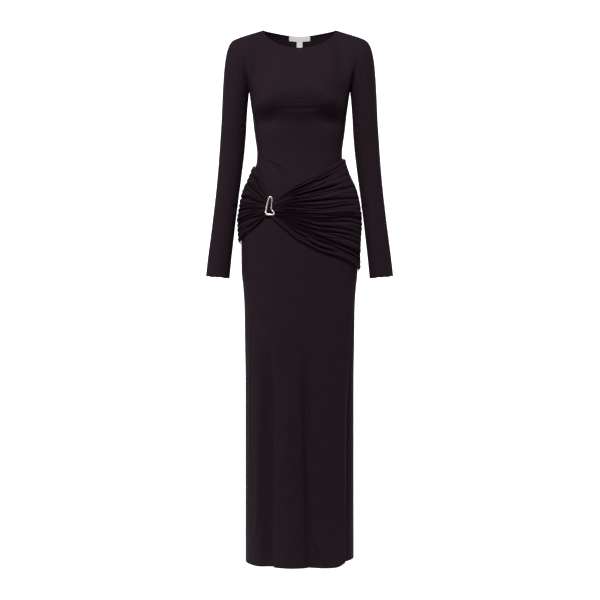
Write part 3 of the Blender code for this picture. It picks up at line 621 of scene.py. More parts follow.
def upper_bodice(place, rise, side):
    """Outer points from the underarm row (rise 0) to the top edge (rise 1).

    Each column is a cubic curve with four control points: it leaves the chest along the
    plain section, turning outwards beside the armhole, and arrives at the top edge from
    the front or back.
    """
    size = np.abs(place)
    foot_z = UNDERARM_Z - UNDERARM_SAG * (1.0 - place**2)
    start = plain_section(place, foot_z, side)
    end = top_edge(place, side)
    above = plain_section(place, foot_z + HEIGHT_STEP, side)
    upward = unit(above - plain_section(place, foot_z - HEIGHT_STEP, side))
    outward = np.zeros_like(upward)
    outward[..., 1] = side
    turn = ease((size - OUTWARD_FROM) / (1.0 - OUTWARD_FROM))[..., None]
    leave = unit(upward * (1.0 - turn) + outward * turn)
    leave *= read(UPPER, UPPER_COLUMNS, "rise", size, "share")[..., None]
    name = "front" if side < 0 else "back"
    arrive = np.zeros_like(leave)
    arrive[..., 1] = -side * read(UPPER, UPPER_COLUMNS, name + "_back", size, "share")
    arrive[..., 2] = read(UPPER, UPPER_COLUMNS, name + "_up", size, "share")
    rest = (1.0 - rise)[..., None]
    rise = rise[..., None]
    curve = (
        start * rest**3
        + 3.0 * (start + leave) * rest**2 * rise
        + 3.0 * (end - arrive) * rest * rise**2
        + end * rise**3
    )
    if side < 0:
        curve[..., 1] -= bust(curve[..., 0], curve[..., 2])
    return curve


def panel(side, columns, row_step):
    """Outer points of the front or back, from the top edge to the hem, and each one's place.

    Columns lie evenly across, with two more beside each seam. The last rows close up at
    the hem. The third value is the row of the hip seam.
    """
    even = np.linspace(-1.0, 1.0, columns + 1)
    beside = np.array(SEAM_COLUMNS)
    place = np.unique(np.concatenate([even, beside - 1.0, 1.0 - beside]))
    rise = np.array(ARMHOLE_TURNS)
    across, up = np.meshgrid(place, rise)
    upper = upper_bodice(across, up, side)
    near = ease((np.abs(place) - (1.0 - JOIN_SHARE)) / JOIN_SHARE)[None, :, None]
    for edge, sign in PANEL_EDGES:
        true = armhole(rise * math.pi, side, -SEAM_GAP / 2.0) * (sign, 1.0, 1.0)
        shift = (true - upper[:, edge])[:, None, :]
        upper += shift * near * (np.sign(place) == sign)[None, :, None]
    inside = ease((1.0 - np.abs(place)) / CALM_EDGE)
    calm(upper, ease((1.0 - up) / CALM_RISE) * inside, CALM_PASSES)
    fine = BODICE_STEP * row_step
    rows = np.append(np.arange(UNDERARM_Z - fine, HIP_SEAM_Z, -fine), HIP_SEAM_Z)
    skirt = np.arange(HIP_SEAM_Z - row_step, HEM_Z + HEM_ROWS_FROM, -row_step)
    hem = HEM_Z + np.array(HEM_ROWS)
    across, z = np.meshgrid(place, np.concatenate([rows, skirt, hem]))
    sag = UNDERARM_SAG * np.clip((z - WAIST_Z) / (UNDERARM_Z - WAIST_Z), 0.0, 1.0)
    z = z - sag * (1.0 - across**2)
    section = front_section if side < 0 else back_section
    points = np.concatenate([upper, section(across, z)])
    from_joint = np.arange(len(points))[None, :] - len(rise)
    strength = inside[:, None] * bell(from_joint, JOINT_ROWS)
    calm(points.swapaxes(0, 1), strength, CALM_PASSES)
    return points, place, len(rise) + len(rows) - 1


def grid_normals(points, turned=False):
    """Unit normals of a grid of points. turned says that its columns close on themselves."""
    if turned:
        across = np.roll(points, -1, axis=1) - np.roll(points, 1, axis=1)
    else:
        across = np.gradient(points, axis=1)
    normal = np.cross(across, np.gradient(points, axis=0))
    return unit(normal)


def outward_normals(points, towards, turned=False):
    """Normals of a grid, turned so that they agree with the given directions."""
    normals = grid_normals(points, turned)
    return normals if (normals * towards).sum() > 0.0 else -normals


def run_along(points, axis):
    """Distances along the rows or columns of a grid, from its first point."""
    step = np.linalg.norm(np.diff(points, axis=axis), axis=-1)
    first = np.zeros_like(np.take(step, [0], axis=axis))
    return np.concatenate([first, np.cumsum(step, axis=axis)], axis=axis)


def small_creases(u, v, rows):
    """The sum of small creases at u and v.

    Each runs between its two ends with a bow. At a distance of a half widths from its line
    it is its depth times (1 - a squared) exp(-a squared / 2), a trough with low shoulders,
    and it fades towards both ends as a sine.
    """
    out = np.zeros(np.broadcast(u, v).shape)
    for from_u, from_v, to_u, to_v, bow, width, depth in rows:
        run = math.hypot(to_u - from_u, to_v - from_v)
        step_u, step_v = (to_u - from_u) / run, (to_v - from_v) / run
        along = np.clip(((u - from_u) * step_u + (v - from_v) * step_v) / run, 0.0, 1.0)
        aside = (v - from_v) * step_u - (u - from_u) * step_v
        a = (aside - bow * 4.0 * along * (1.0 - along)) / width
        section = (1.0 - a * a) * np.exp(-a * a / 2.0)
        out += depth * section * np.sin(math.pi * along) ** CREASE_END_POWER
    return out


def soft_bells(u, v, rows):
    """The sum of round bells, each its depth times a bell across and a bell up."""
    return sum(
        depth * bell(u - at_u, wide) * bell(v - at_v, high)
        for at_u, at_v, wide, high, depth in rows
    )


def pleats(x, z):
    """The sum of the skirt's pleats.

    Each is minus its depth times a bell of the distance from its line, in slopes on its
    left and in steps on its right, and it deepens over the fold ramp below its top.
    """
    out = np.zeros_like(x)
    for top_x, top_z, foot_x, slope, step, depth in PLEATS:
        down = np.clip((top_z - z) / (top_z - HEM_Z), 0.0, 1.0)
        aside = x - top_x - (foot_x - top_x) * down
        reach = np.where(aside < 0.0, slope, step)
        out -= depth * ease((top_z - z) / FOLD_RAMP) * bell(aside, reach)
    return out


def trough(distance, depth, reach):
    """A narrow trough: its depth times a bell of the distance from its line."""
    return -depth * bell(distance, reach)


def armpit(distance):
    """The hollow beside the foot of the armhole seam, as a bell less a narrower one."""
    return -ARMPIT_DIP * (bell(distance, ARMPIT_REACH) - bell(distance, ARMPIT_LINE))


def rim_directions(points, turned):
    """Unit directions that point out of a grid at its rim, and are zero inside it."""
    out = np.zeros_like(points)
    out[0] += unit(points[0] - points[1])
    out[-1] += unit(points[-1] - points[-2])
    if not turned:
        out[:, 0] += unit(points[:, 0] - points[:, 1])
        out[:, -1] += unit(points[:, -1] - points[:, -2])
    return unit(out)


def unit(vectors):
    """Vectors made one long, where they have a length."""
    return vectors / np.maximum(np.linalg.norm(vectors, axis=-1, keepdims=True), 1e-9)


def grid_quads(index):
    """The quads between the neighbours of a grid of indices."""
    quads = np.stack([index[:-1, :-1], index[:-1, 1:], index[1:, 1:], index[1:, :-1]], axis=-1)
    return quads.reshape(-1, 4)


def rims_of(index, turned):
    """The closed lines round a grid's rim, each turning the same way as the grid's quads."""
    if turned:
        return [index[0], index[-1][::-1]]
    line = np.concatenate([index[0], index[1:, -1], index[-1, -2::-1], index[-2::-1, 0]])
    return [line]


def shell(name, outer, normals, thickness, material, turned=False, hollow=None):
    """A closed cloth wall under a grid of outer points, with a half-round rim.

    The inner points are the outer ones less the thickness along the normals. At the rim
    both are drawn in by half the thickness less the rim's reach, and the points between
    them go round half a circle. The UV map is the cloth's own lengths, in metres. hollow
    says how deep in a fold each outer point lies; the material darkens the colour by it as
    painted shade, and lightens it as a painted highlight where it is below zero.
    """
    rows, columns = outer.shape[:2]
    radius = thickness / 2.0
    out = rim_directions(outer, turned)
    outer = outer - out * (radius - RIM_REACH)
    inner = outer - normals * thickness
    index = np.arange(rows * columns).reshape(rows, columns)
    uv_index = np.arange(rows * (columns + 1)).reshape(rows, columns + 1)
    if turned:
        index = np.concatenate([index, index[:, :1]], axis=1)
        wrapped = np.concatenate([outer, outer[:, :1]], axis=1)
    else:
        uv_index = index
        wrapped = outer
    u = run_along(wrapped, 1)
    u = u - u[:, [u.shape[1] // 2]]
    v = run_along(wrapped, 0)
    uv = np.stack([u, -v], axis=-1).reshape(-1, 2) * MM
    points = [outer.reshape(-1, 3), inner.reshape(-1, 3)]
    count = rows * columns
    corners = [grid_quads(index), grid_quads(index)[:, ::-1] + count]
    uv_corners = [grid_quads(uv_index), grid_quads(uv_index)[:, ::-1]]
    start = 2 * count
    middle = (outer + inner).reshape(-1, 3) / 2.0
    out, normals_in_line = out.reshape(-1, 3), normals.reshape(-1, 3)
    for line, uv_line in zip(rims_of(index, turned), rims_of(uv_index, turned)):
        turns = [line]
        for step in range(1, RIM_STEPS):
            angle = math.pi * step / RIM_STEPS
            ring = (
                middle[line[:-1]]
                + normals_in_line[line[:-1]] * radius * math.cos(angle)
                + out[line[:-1]] * radius * math.sin(angle)
            )
            points.append(ring)
            numbers = np.arange(start, start + len(ring))
            turns.append(np.append(numbers, numbers[0]))
            start += len(ring)
        turns.append(line + count)
        rim = np.stack(turns)
        corners.append(grid_quads(rim)[:, ::-1])
        uv_rim = np.stack([uv_line] * len(turns))
        uv_corners.append(grid_quads(uv_rim)[:, ::-1])
    made = make_piece(name, np.concatenate(points), np.concatenate(corners), material)
    if hollow is not None:
        values = np.zeros(start, np.float32)
        values[:count] = hollow.reshape(-1)
        made.data.attributes.new("hollow", "FLOAT", "POINT").data.foreach_set("value", values)
    if (normals[1, 1] * quad_normal(outer)).sum() < 0.0:
        made.data.flip_normals()
        layer_corners = np.concatenate(uv_corners)[:, ::-1]
        layer_corners = np.roll(layer_corners, 1, axis=1)
    else:
        layer_corners = np.concatenate(uv_corners)
    layer = made.data.uv_layers.new(name="cloth")
    layer.data.foreach_set("uv", uv[layer_corners.reshape(-1)].astype(np.float32).reshape(-1))
    return made


def quad_normal(points):
    """The direction that the second quad of a grid faces."""
    return np.cross(points[2, 1] - points[1, 1], points[1, 2] - points[1, 1])


def make_piece(name, points, faces, material):
    """A smooth-shaded mesh object from points in millimetres and faces."""
    mesh = bpy.data.meshes.new(name)
    mesh.from_pydata((points * MM).tolist(), [], faces.tolist())
    mesh.materials.append(material)
    mesh.shade_smooth()
    made = bpy.data.objects.new(name, mesh)
    bpy.context.collection.objects.link(made)
    return made


def settle(piece, slot, *nodes):
    """Lets a piece ride on the dress and hides the solids it stands for. Its slot is not used."""
    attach(piece, "root")
    if nodes:
        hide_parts(*nodes)


def body_panel(side, columns, cloth):
    """The finished outer points and normals of the front or back, and its hip seam's row."""
    points, place, seam_row = panel(side, columns, cloth.row_step / MM)
    towards = np.zeros_like(points)
    towards[..., 1] = side
    normals = outward_normals(points, towards)
    x, z = points[..., 0], points[..., 2]
    across, down = run_along(points, 1), run_along(points, 0)
    from_edge = across[:, -1:] - across
    from_seams = np.minimum(across, from_edge)
    out = small_creases(x, z, FRONT_CREASES if side < 0 else BACK_CREASES)
    if side < 0:
        out += small_creases(x, z, HEM_CREASES) + pleats(x, z)
        out += soft_bells(x, z, BUST_BELLS) + soft_bells(x, z, SKIRT_BELLS)
        roll = bell(from_edge - EDGE_REACH, EDGE_REACH)
        out += EDGE_LIFT * roll * ease((SLIT_TOP_Z - z) / EDGE_RAMP)
    else:
        out += trough(z - HIP_SEAM_Z, SEAM_DIP, SEAM_REACH)
    sewn = (z > SLIT_TOP_Z) | (np.broadcast_to(place, z.shape) < 0.0)
    slit_hem = trough(from_seams - SLIT_HEM_DEPTH, STITCH_DIP, STITCH_REACH)
    out += np.where(sewn, trough(from_seams, SEAM_DIP, SEAM_REACH), slit_hem)
    neck = np.abs(place) < NECK_SHARE
    neck_hem = trough(down - NECK_EDGE_DEPTH, STITCH_DIP, STITCH_REACH)
    out += np.where(neck, neck_hem, trough(down, SEAM_DIP, SEAM_REACH))
    hollow = armpit(from_seams) * ease((ARMPIT_TOP_Z - z) / ARMPIT_RAMP)
    out += hollow * (z > ARMPIT_DIP_FOOT_Z) * np.abs(normals[..., 1])
    out += trough(z - HEM_Z - HEM_DEPTH, STITCH_DIP, STITCH_REACH)
    points = points + normals * out[..., None]
    points[..., 2] += slit_hem_rise(side, place, across, z)
    turn = np.array(ARMHOLE_TURNS) * math.pi
    for edge, sign in PANEL_EDGES:
        seam = armhole(turn, side, -SEAM_GAP / 2.0) * (sign, 1.0, 1.0)
        points[: len(turn), edge] = armhole_groove(seam, sign)
    return points, outward_normals(points, towards), seam_row


def slit_hem_rise(side, place, across, z):
    """How far the hem rises beside the slit, fading upwards.

    At the front's free corner it is one less the root of one less a share squared, a round
    corner. On the back it is a smooth step round the side.
    """
    near_hem = ease((HEM_Z + SLIT_HEM_FADE - z) / SLIT_HEM_FADE)
    if side < 0:
        share = 1.0 - (across[:, -1:] - across) / SLIT_HEM_REACH
        share = np.clip(share, 0.0, 1.0)
        return SLIT_CORNER_RISE * (1.0 - np.sqrt(1.0 - share * share)) * near_hem
    share = np.broadcast_to((place - SLIT_SIDE_FROM) / SLIT_SIDE_SPAN, z.shape)
    return SLIT_HEM_RISE * ease(share) * near_hem


def body_pieces(name, side, columns, cloth, material):
    """The bodice and skirt of the front or back, which meet at the hip seam."""
    points, normals, seam = body_panel(side, columns, cloth)
    hollow = body_painted_shade(side, points)
    thickness = cloth.thickness / MM
    made = []
    for half, rows in (("bodice", slice(0, seam + 1)), ("skirt", slice(seam, None))):
        outer = points[rows].copy()
        if half == "skirt":
            outer[0, :, 2] -= SEAM_GAP
        piece = shell(
            f"{name}_{half}_cloth", outer, normals[rows], thickness, material, hollow=hollow[rows]
        )
        settle(piece, "jersey", f"{name}_{half}")
        made.append(piece)
    lines = body_stitch_lines(side, points, normals)
    settle(stitch_piece(f"{name}_stitches", lines, material), "jersey")
    return made


def body_painted_shade(side, points):
    """Painted shade on the front or back, under the arms and behind the slit, and a painted
    highlight, below zero, along the slit's front edge.
    """
    z = points[..., 2]
    across = run_along(points, 1)
    from_edge = across[:, -1:] - across
    from_seams = np.minimum(across, from_edge)
    under_arm = ease((ARMPIT_TOP_Z - z) / ARMPIT_SHADE_RAMP)
    under_arm = under_arm * ease((z - ARMPIT_FOOT_Z) / ARMPIT_SHADE_RAMP)
    # Painted shade under the arms.
    hollow = ARMPIT_SHADE * under_arm * bell(from_seams, ARMPIT_REACH)
    below = ease((SLIT_TOP_Z - z) / SLIT_SHADE_RAMP)
    if side < 0:
        # Painted highlight along the front's free edge at the slit.
        return hollow - EDGE_LIGHT * below * bell(from_edge - EDGE_LINE, EDGE_LINE_REACH)
    # Painted shade on the back beside the slit, behind the front's flap.
    wrapped = np.clip(-points[..., 1] / SLIT_SHADE_REACH, 0.0, 1.0) * (points[..., 0] > 0.0)
    return hollow + SLIT_SHADE * below * ease(wrapped)


def body_stitch_lines(side, points, normals):
    """Lines of stitches round the neckline and the hem, and up the front's free edge."""
    quarter = int(points.shape[1] * (1.0 - NECK_SHARE) / 2.0) + 1
    neck = slice(quarter, -quarter)
    lines = [
        line_inside(points[:, neck], normals[:, neck], NECK_EDGE_DEPTH),
        line_inside(points[::-1], normals[::-1], HEM_DEPTH),
    ]
    if side < 0:
        below = points[:, -1, 2] < SLIT_TOP_Z - SLIT_STITCH_DROP
        free, facing = points[below][:, ::-1], normals[below][:, ::-1]
        lines.append(line_inside(free.swapaxes(0, 1), facing.swapaxes(0, 1), SLIT_HEM_DEPTH))
    return lines


def line_inside(points, normals, distance):
    """The line at a distance in from a grid's first row, and its normals."""
    run = run_along(points, 0)
    row = np.clip((run < distance).sum(axis=0), 1, len(points) - 1)
    columns = np.arange(points.shape[1])
    before, after = run[row - 1, columns], run[row, columns]
    part = ((distance - before) / (after - before))[:, None]
    line = points[row - 1, columns] * (1.0 - part) + points[row, columns] * part
    return line, normals[row, columns]


def read_line(line, run, at):
    """Points of a line at the given distances along it."""
    return np.stack([np.interp(at, run, line[:, axis]) for axis in range(3)], axis=-1)


def stitch_piece(name, lines, material):
    """Rows of small capsules along lines, joined in one mesh.

    Each capsule lies along its line's direction and is thickest in its middle half.
    """
    points, faces = [], []
    along = np.array(STITCH_ENDS)[None, :, None, None] * STITCH_LENGTH
    radius = np.array(STITCH_TAPER)[None, :, None, None] * STITCH_RADIUS
    turn = np.linspace(0.0, 2.0 * math.pi, STITCH_SIDES, endpoint=False)[None, None, :, None]
    count = 0
    for line, normals in lines:
        run = run_along(line[None], 1)[0]
        at = np.arange(STITCH_PITCH, run[-1] - STITCH_PITCH, STITCH_PITCH)
        middle = read_line(line, run, at)
        ahead = read_line(line, run, at + LINE_STEP) - read_line(line, run, at - LINE_STEP)
        ahead = unit(ahead)
        up = unit(read_line(normals, run, at))
        aside = unit(np.cross(ahead, up))
        middle, ahead, up, aside = (each[:, None, None, :] for each in (middle, ahead, up, aside))
        capsule = middle + ahead * along + radius * (aside * np.cos(turn) + up * np.sin(turn))
        points.append(capsule.reshape(-1, 3))
        index = np.arange(capsule[..., 0].size).reshape(capsule.shape[:3]) + count
        count += capsule[..., 0].size
        near, far = index, np.roll(index, -1, axis=2)
        sides = np.stack([near[:, :-1], far[:, :-1], far[:, 1:], near[:, 1:]], axis=-1)
        faces.append(sides.reshape(-1, 4))
        for end in (index[:, 0, ::-1], index[:, -1]):
            faces.append(end[:, [0, 1, 2, 3]])
            faces.append(end[:, [0, 3, 4, 5]])
    return make_piece(name, np.concatenate(points), np.concatenate(faces), material)


def sleeve_points(sign):
    """Outer points and normals of a sleeve, as ellipses between its outer and inner sides."""
    keys = np.linspace(0.0, 1.0, len(SLEEVE))
    cuff = 1.0 - np.array(CUFF_ROWS) / SLEEVE_LENGTH
    at = np.concatenate([SLEEVE_TOP_ROWS, np.linspace(*SLEEVE_EVEN_ROWS, SLEEVE_ROWS), cuff])
    size = {
        each: smooth(keys, column(SLEEVE, SLEEVE_COLUMNS, each), at)[:, None]
        for each in SLEEVE_COLUMNS
    }
    turn = np.linspace(0.0, 2.0 * math.pi, SLEEVE_SIDES, endpoint=False)[None, :]
    x = (size["outer_x"] + size["inner_x"]) / 2.0
    x = x + (size["outer_x"] - size["inner_x"]) / 2.0 * np.cos(turn)
    z = (size["outer_z"] + size["inner_z"]) / 2.0
    z = z + (size["outer_z"] - size["inner_z"]) / 2.0 * np.cos(turn)
    y = size["middle_y"] + size["half_depth"] * np.sin(turn)
    points = np.stack([x, y, z], axis=-1)
    towards = points - points.mean(axis=1, keepdims=True)
    normals = outward_normals(points, towards, turned=True)
    length = run_along(points, 0)
    degrees = np.degrees(np.where(turn > math.pi, turn - 2.0 * math.pi, turn))
    radius = size["half_depth"]
    out = np.zeros(points.shape[:2])
    for from_turn, from_along, to_turn, to_along, bow, width, depth in SLEEVE_CREASES:
        middle = (from_turn + to_turn) / 2.0
        apart = (degrees - middle + 180.0) % 360.0 - 180.0
        half = np.radians((to_turn - from_turn) / 2.0) * SLEEVE_RADIUS
        crease = (-half, from_along, half, to_along, bow, width, depth)
        out += small_creases(np.radians(apart) * radius, length, (crease,))
    out += trough(length, SEAM_DIP, SEAM_REACH)
    hollow = armpit(length) * ease((ARMPIT_TOP_Z - points[..., 2]) / ARMPIT_RAMP)
    out += hollow * np.abs(normals[..., 1])
    from_cuff = length[-1:] - length
    out += trough(from_cuff - CUFF_HEM_DEPTH, STITCH_DIP, STITCH_REACH)
    rim = armhole_groove(points[0])
    points = points + normals * out[..., None]
    points[0] = rim
    wave = np.sin(CUFF_WAVES * turn) * np.exp(-from_cuff / CUFF_HEM_DEPTH)
    points[..., 2] += CUFF_WAVE * wave
    normals = outward_normals(points, towards, turned=True)
    mirror = np.array([sign, 1.0, 1.0])
    return points * mirror, normals * mirror


def on_front(share, z):
    """Points and outward normals of the front's plain section, by finite differences."""
    point = front_section(share, z)
    across = front_section(share + SHARE_STEP, z) - front_section(share - SHARE_STEP, z)
    upward = front_section(share, z + HEIGHT_STEP) - front_section(share, z - HEIGHT_STEP)
    normal = unit(np.cross(across, upward))
    facing = np.where(normal[..., 1:2] > 0.0, -1.0, 1.0)
    return point, normal * facing


def band_edges(place):
    """The overlay's upper and lower edges at a place along it."""
    return {
        each: read(OVERLAY, OVERLAY_COLUMNS, each, place, "place") for each in OVERLAY_COLUMNS[1:]
    }


def on_band(place, down):
    """Points and normals of the front under the overlay, and the band's height there."""
    edge = band_edges(place)
    share = edge["upper_share"] * (1.0 - down) + edge["lower_share"] * down
    z = edge["upper_z"] * (1.0 - down) + edge["lower_z"] * down
    point, normal = on_front(share, z)
    return point, normal, edge["upper_z"] - edge["lower_z"]


def crease_lines(place, rows, keys, seam):
    """Each crease's share of the way down the band, how far it has faded in, depth and width."""
    near, middle, far = keys
    at = np.array([RING_PLACE, near, middle, far, seam])
    for start, end, near_down, middle_down, far_down, width, depth in rows:
        values = np.array([near_down, near_down, middle_down, far_down, far_down])
        line = smooth(at, values, place)
        outward = (place - start) * np.sign(seam)
        inside = ease((end - place) * np.sign(seam) / CREASE_FADE_OUT) * (outward >= 0.0)
        if abs(start - RING_PLACE) > STARTS_AT_RING:
            inside = inside * ease(outward / CREASE_FADE_IN)
        yield line, inside, depth, width


def fold_section(a):
    """A sharp fold with rounded cloth on both sides, at a widths from its line.

    It is exp(sqrt(s) - sqrt(a squared + s)), where a small s rounds off its line.
    """
    return np.exp(math.sqrt(FOLD_SHARPNESS) - np.sqrt(a * a + FOLD_SHARPNESS))


def main_folds(place, down, height, fold_depth):
    """The depths of the placed creases, added up.

    Where the band is bunched near the ring they are narrower and shallower, and only the
    deepest ones reach it.
    """
    bunched = np.clip(height / BUNCHED_HEIGHT, LEAST_BUNCHED, 1.0)
    at_ring = bell(place - RING_PLACE, MAIN_REACH)
    left = ease((place - RING_PLACE) / WING_BLEND)
    wings = (
        (LEFT_CREASES, LEFT_KEYS, 1.0, left),
        (RIGHT_CREASES, RIGHT_KEYS[::-1], -1.0, 1.0 - left),
    )
    total = np.zeros_like(down)
    for rows, keys, seam, share in wings:
        for line, inside, depth, width in crease_lines(place, rows, keys, seam):
            a = (down - line) * height / (width * bunched**BUNCHED_WIDTH_POWER)
            kept = 1.0 - at_ring * (1.0 - min(depth / MAIN_DEPTH, 1.0) ** MAIN_POWER)
            deep = depth * bunched**BUNCHED_DEPTH_POWER * kept * fold_depth
            total += share * inside * deep * fold_section(a)
    return total


def fine_folds(place, down, height):
    """The depths of the fine folds that run out from the ring between the placed ones.

    The golden section spreads their lengths and depths, and a sine lets each one wander.
    """
    bunched = np.clip(height / BUNCHED_HEIGHT, LEAST_BUNCHED, 1.0)
    from_ring = np.abs(place - RING_PLACE)
    calmed = 1.0 - FINE_RING_CALM * bell(from_ring, MAIN_REACH)
    total = np.zeros_like(down)
    for number in range(FINE_FOLDS):
        golden = (number * GOLDEN_SHARE) % 1.0
        wander = np.sin(FINE_WANDER_TURNS * place + number * FINE_WANDER_STEP)
        line = (number + 0.5) / FINE_FOLDS + FINE_WANDER * wander
        fade = ease((FINE_REACH + FINE_REACH_SPREAD * golden - from_ring) / FINE_FADE) * calmed
        a = (down - line) * height / (FINE_WIDTH * bunched)
        total += FINE_DEPTH * bunched * (0.5 + golden) * fade * fold_section(a)
    return total


def band_relief(place, down, height, overlay):
    """How far the overlay's outer face stands above its troughs, and how hollow it lies, as
    painted shade for its colour.

    It is a crest less its folds, kept above zero by a soft maximum. The crest dips where the
    band passes through the ring. Short gathers, a rectified sine, rise along both seams, and
    the whole is eased down to the band's two edges.
    """
    dip = RING_DIP * bell(place - RING_PLACE, RING_DIP_REACH)
    level = FOLD_HEIGHT * (1.0 - dip)
    folded = main_folds(place, down, height, overlay.fold_depth) + fine_folds(place, down, height)
    crest = CREST_SOFTNESS * np.logaddexp(0.0, (level - folded) / CREST_SOFTNESS)
    for seam, count in ((1.0, LEFT_GATHERS), (-1.0, RIGHT_GATHERS)):
        strength = bell(place - seam, GATHER_REACH)
        bump = np.abs(np.sin(math.pi * count * down)) ** GATHER_ROUNDNESS
        crest = crest * (1.0 - strength) + strength * GATHER_HEIGHT * overlay.gather_depth * bump
    crest = crest * ease((1.0 - np.abs(place)) / SEAM_TUCK)
    # Painted shade: the colour is darkened where the folds lie deep, and more near the ring.
    hollow = 1.0 - crest / level + RING_SHADE * bell(place - RING_PLACE, RING_SHADE_REACH)
    from_edge = np.minimum(down, 1.0 - down) * height
    rest = 1.0 - np.clip(from_edge / FOLD_EDGE, 0.0, 1.0)
    return crest * np.sqrt(1.0 - rest * rest), ease((hollow - HOLLOW_FROM) / HOLLOW_SPAN)


def overlay_points(overlay):
    """Outer points, normals and hollows of the overlay, off the front by its folds. The hollows
    are painted shade.
    """
    place = np.linspace(-1.0, 1.0, OVERLAY_STATIONS + 1)[None, :]
    down = np.linspace(0.0, 1.0, OVERLAY_ROWS + 1)[:, None]
    place, down = np.broadcast_arrays(place, down)
    point, normal, height = on_band(place, down)
    relief, hollow = band_relief(place, down, height, overlay)
    outer = point + normal * (OVERLAY_GAP + OVERLAY_WALL + relief)[..., None]
    outer[..., 1] = np.minimum(outer[..., 1], -SEAM_GAP / 2.0)
    return outer, outward_normals(outer, normal), hollow


def overlay_piece(overlay, material):
    """The hip overlay as a closed band, whose inner face lies just off the front."""
    outer, normals, hollow = overlay_points(overlay)
    piece = shell("overlay_cloth", outer, normals, OVERLAY_WALL, material, hollow=hollow)
    settle(piece, "jersey", "overlay")
    return piece


def closed_curve(points, count):
    """Evenly read points on a smooth closed curve through the given ones (Catmull-Rom)."""
    points = np.asarray(points, float)
    before, after = np.roll(points, 1, axis=0), np.roll(points, -1, axis=0)
    beyond = np.roll(points, -2, axis=0)
    at = np.linspace(0.0, len(points), count, endpoint=False)
    index = at.astype(int)
    part = (at - index)[:, None]
    p0, p1, p2, p3 = before[index], points[index], after[index], beyond[index]
    return 0.5 * (
        2.0 * p1
        + (p2 - p0) * part
        + (2.0 * p0 - 5.0 * p1 + 4.0 * p2 - p3) * part**2
        + (3.0 * p1 - p0 - 3.0 * p2 + p3) * part**3
    )


def ring_piece(ring, material):
    """The ring: a flattened circle carried along the bent wire's line.

    The line stands off the front by an even distance, plus a tilt that falls from its
    left limb to its right one.
    """
    line = closed_curve(RING, RING_STATIONS)
    point, normal = on_front(share_at(line[:, 0], line[:, 1]), line[:, 1])
    tilt = RING_TILT * np.clip((RING_MIDDLE_X - line[:, :1]) / RING_TILT_REACH, -1.0, 1.0)
    middle = point + normal * (RING_STAND_OFF + tilt)
    for _ in range(RING_CALM_PASSES):
        middle = (np.roll(middle, 1, axis=0) + 2.0 * middle + np.roll(middle, -1, axis=0)) / 4.0
    along = np.roll(middle, -1, axis=0) - np.roll(middle, 1, axis=0)
    across = unit(np.cross(along, normal))
    turn = np.linspace(0.0, 2.0 * math.pi, RING_SIDES, endpoint=False)[None, :, None]
    radius = ring.wire_radius / MM * line[:, None, 2:]
    points = middle[:, None, :] + radius * (
        across[:, None, :] * np.cos(turn) + normal[:, None, :] * np.sin(turn) * RING_FLATNESS
    )
    index = np.arange(RING_STATIONS * RING_SIDES).reshape(RING_STATIONS, RING_SIDES)
    index = np.concatenate([index, index[:1]], axis=0)
    index = np.concatenate([index, index[:, :1]], axis=1)
    piece = make_piece("ring_wire", points.reshape(-1, 3), grid_quads(index), material)
    spoke = points[0, 0] - middle[0]
    face = np.cross(points[0, 1] - points[0, 0], points[1, 0] - points[0, 0])
    if (spoke * face).sum() > 0.0:
        piece.data.flip_normals()
    settle(piece, "ring_metal", "ring")
    return piece


def set_inputs(node, values):
    """Sets a node's named inputs."""
    for name, value in values.items():
        node.inputs[name].default_value = value


def maths(tree, operation, first, second=0.0):
    """A Math node between two values or sockets. Its output is given back."""
    node = tree.nodes.new("ShaderNodeMath")
    node.operation = operation
    for slot, value in zip(node.inputs, (first, second)):
        if isinstance(value, (int, float)):
            slot.default_value = value
        else:
            tree.links.new(value, slot)
    return node.outputs[0]


def group_sockets(group, inputs, outputs):
    """Adds float inputs with defaults, and float outputs, to a node group."""
    for name, value in inputs.items():
        socket = group.interface.new_socket(name, in_out="INPUT", socket_type="NodeSocketFloat")
        socket.default_value = value
    for name in outputs:
        group.interface.new_socket(name, in_out="OUTPUT", socket_type="NodeSocketFloat")


def knit_group():
    """Fine plain knit from the cloth's own UV map.

    Across, each wale is a ridge 1 - t squared, t going from 0 at its middle to 1 at its
    edge. Along it, a sine that lags with t draws the stitches as a V.
    """
    name = "fine_plain_knit"
    if name in bpy.data.node_groups:
        return bpy.data.node_groups[name]
    group = bpy.data.node_groups.new(name, "ShaderNodeTree")
    group_sockets(group, PLAIN_KNIT, ("Height", "Mottle"))
    enter = group.nodes.new("NodeGroupInput")
    leave = group.nodes.new("NodeGroupOutput")
    place = group.nodes.new("ShaderNodeUVMap")
    place.uv_map = "cloth"
    apart = group.nodes.new("ShaderNodeSeparateXYZ")
    group.links.new(place.outputs["UV"], apart.inputs[0])
    wales = maths(group, "DIVIDE", apart.outputs["X"], enter.outputs["Wale"])
    courses = maths(group, "DIVIDE", apart.outputs["Y"], enter.outputs["Course"])
    t = maths(group, "ABSOLUTE", maths(group, "SUBTRACT", maths(group, "FRACT", wales), 0.5))
    t = maths(group, "MULTIPLY", t, 2.0)
    ridge = maths(group, "SUBTRACT", 1.0, maths(group, "MULTIPLY", t, t))
    lag = maths(group, "ADD", courses, maths(group, "MULTIPLY", t, 0.5))
    wave = maths(group, "SINE", maths(group, "MULTIPLY", lag, 2.0 * math.pi))
    loops = maths(group, "ADD", maths(group, "MULTIPLY", wave, LOOP_WAVE), 1.0 - LOOP_WAVE)
    group.links.new(maths(group, "MULTIPLY", ridge, loops), leave.inputs["Height"])
    cloudy = group.nodes.new("ShaderNodeTexNoise")
    set_inputs(cloudy, MOTTLE)
    group.links.new(place.outputs["UV"], cloudy.inputs["Vector"])
    group.links.new(cloudy.outputs["Fac"], leave.inputs["Mottle"])
    return group


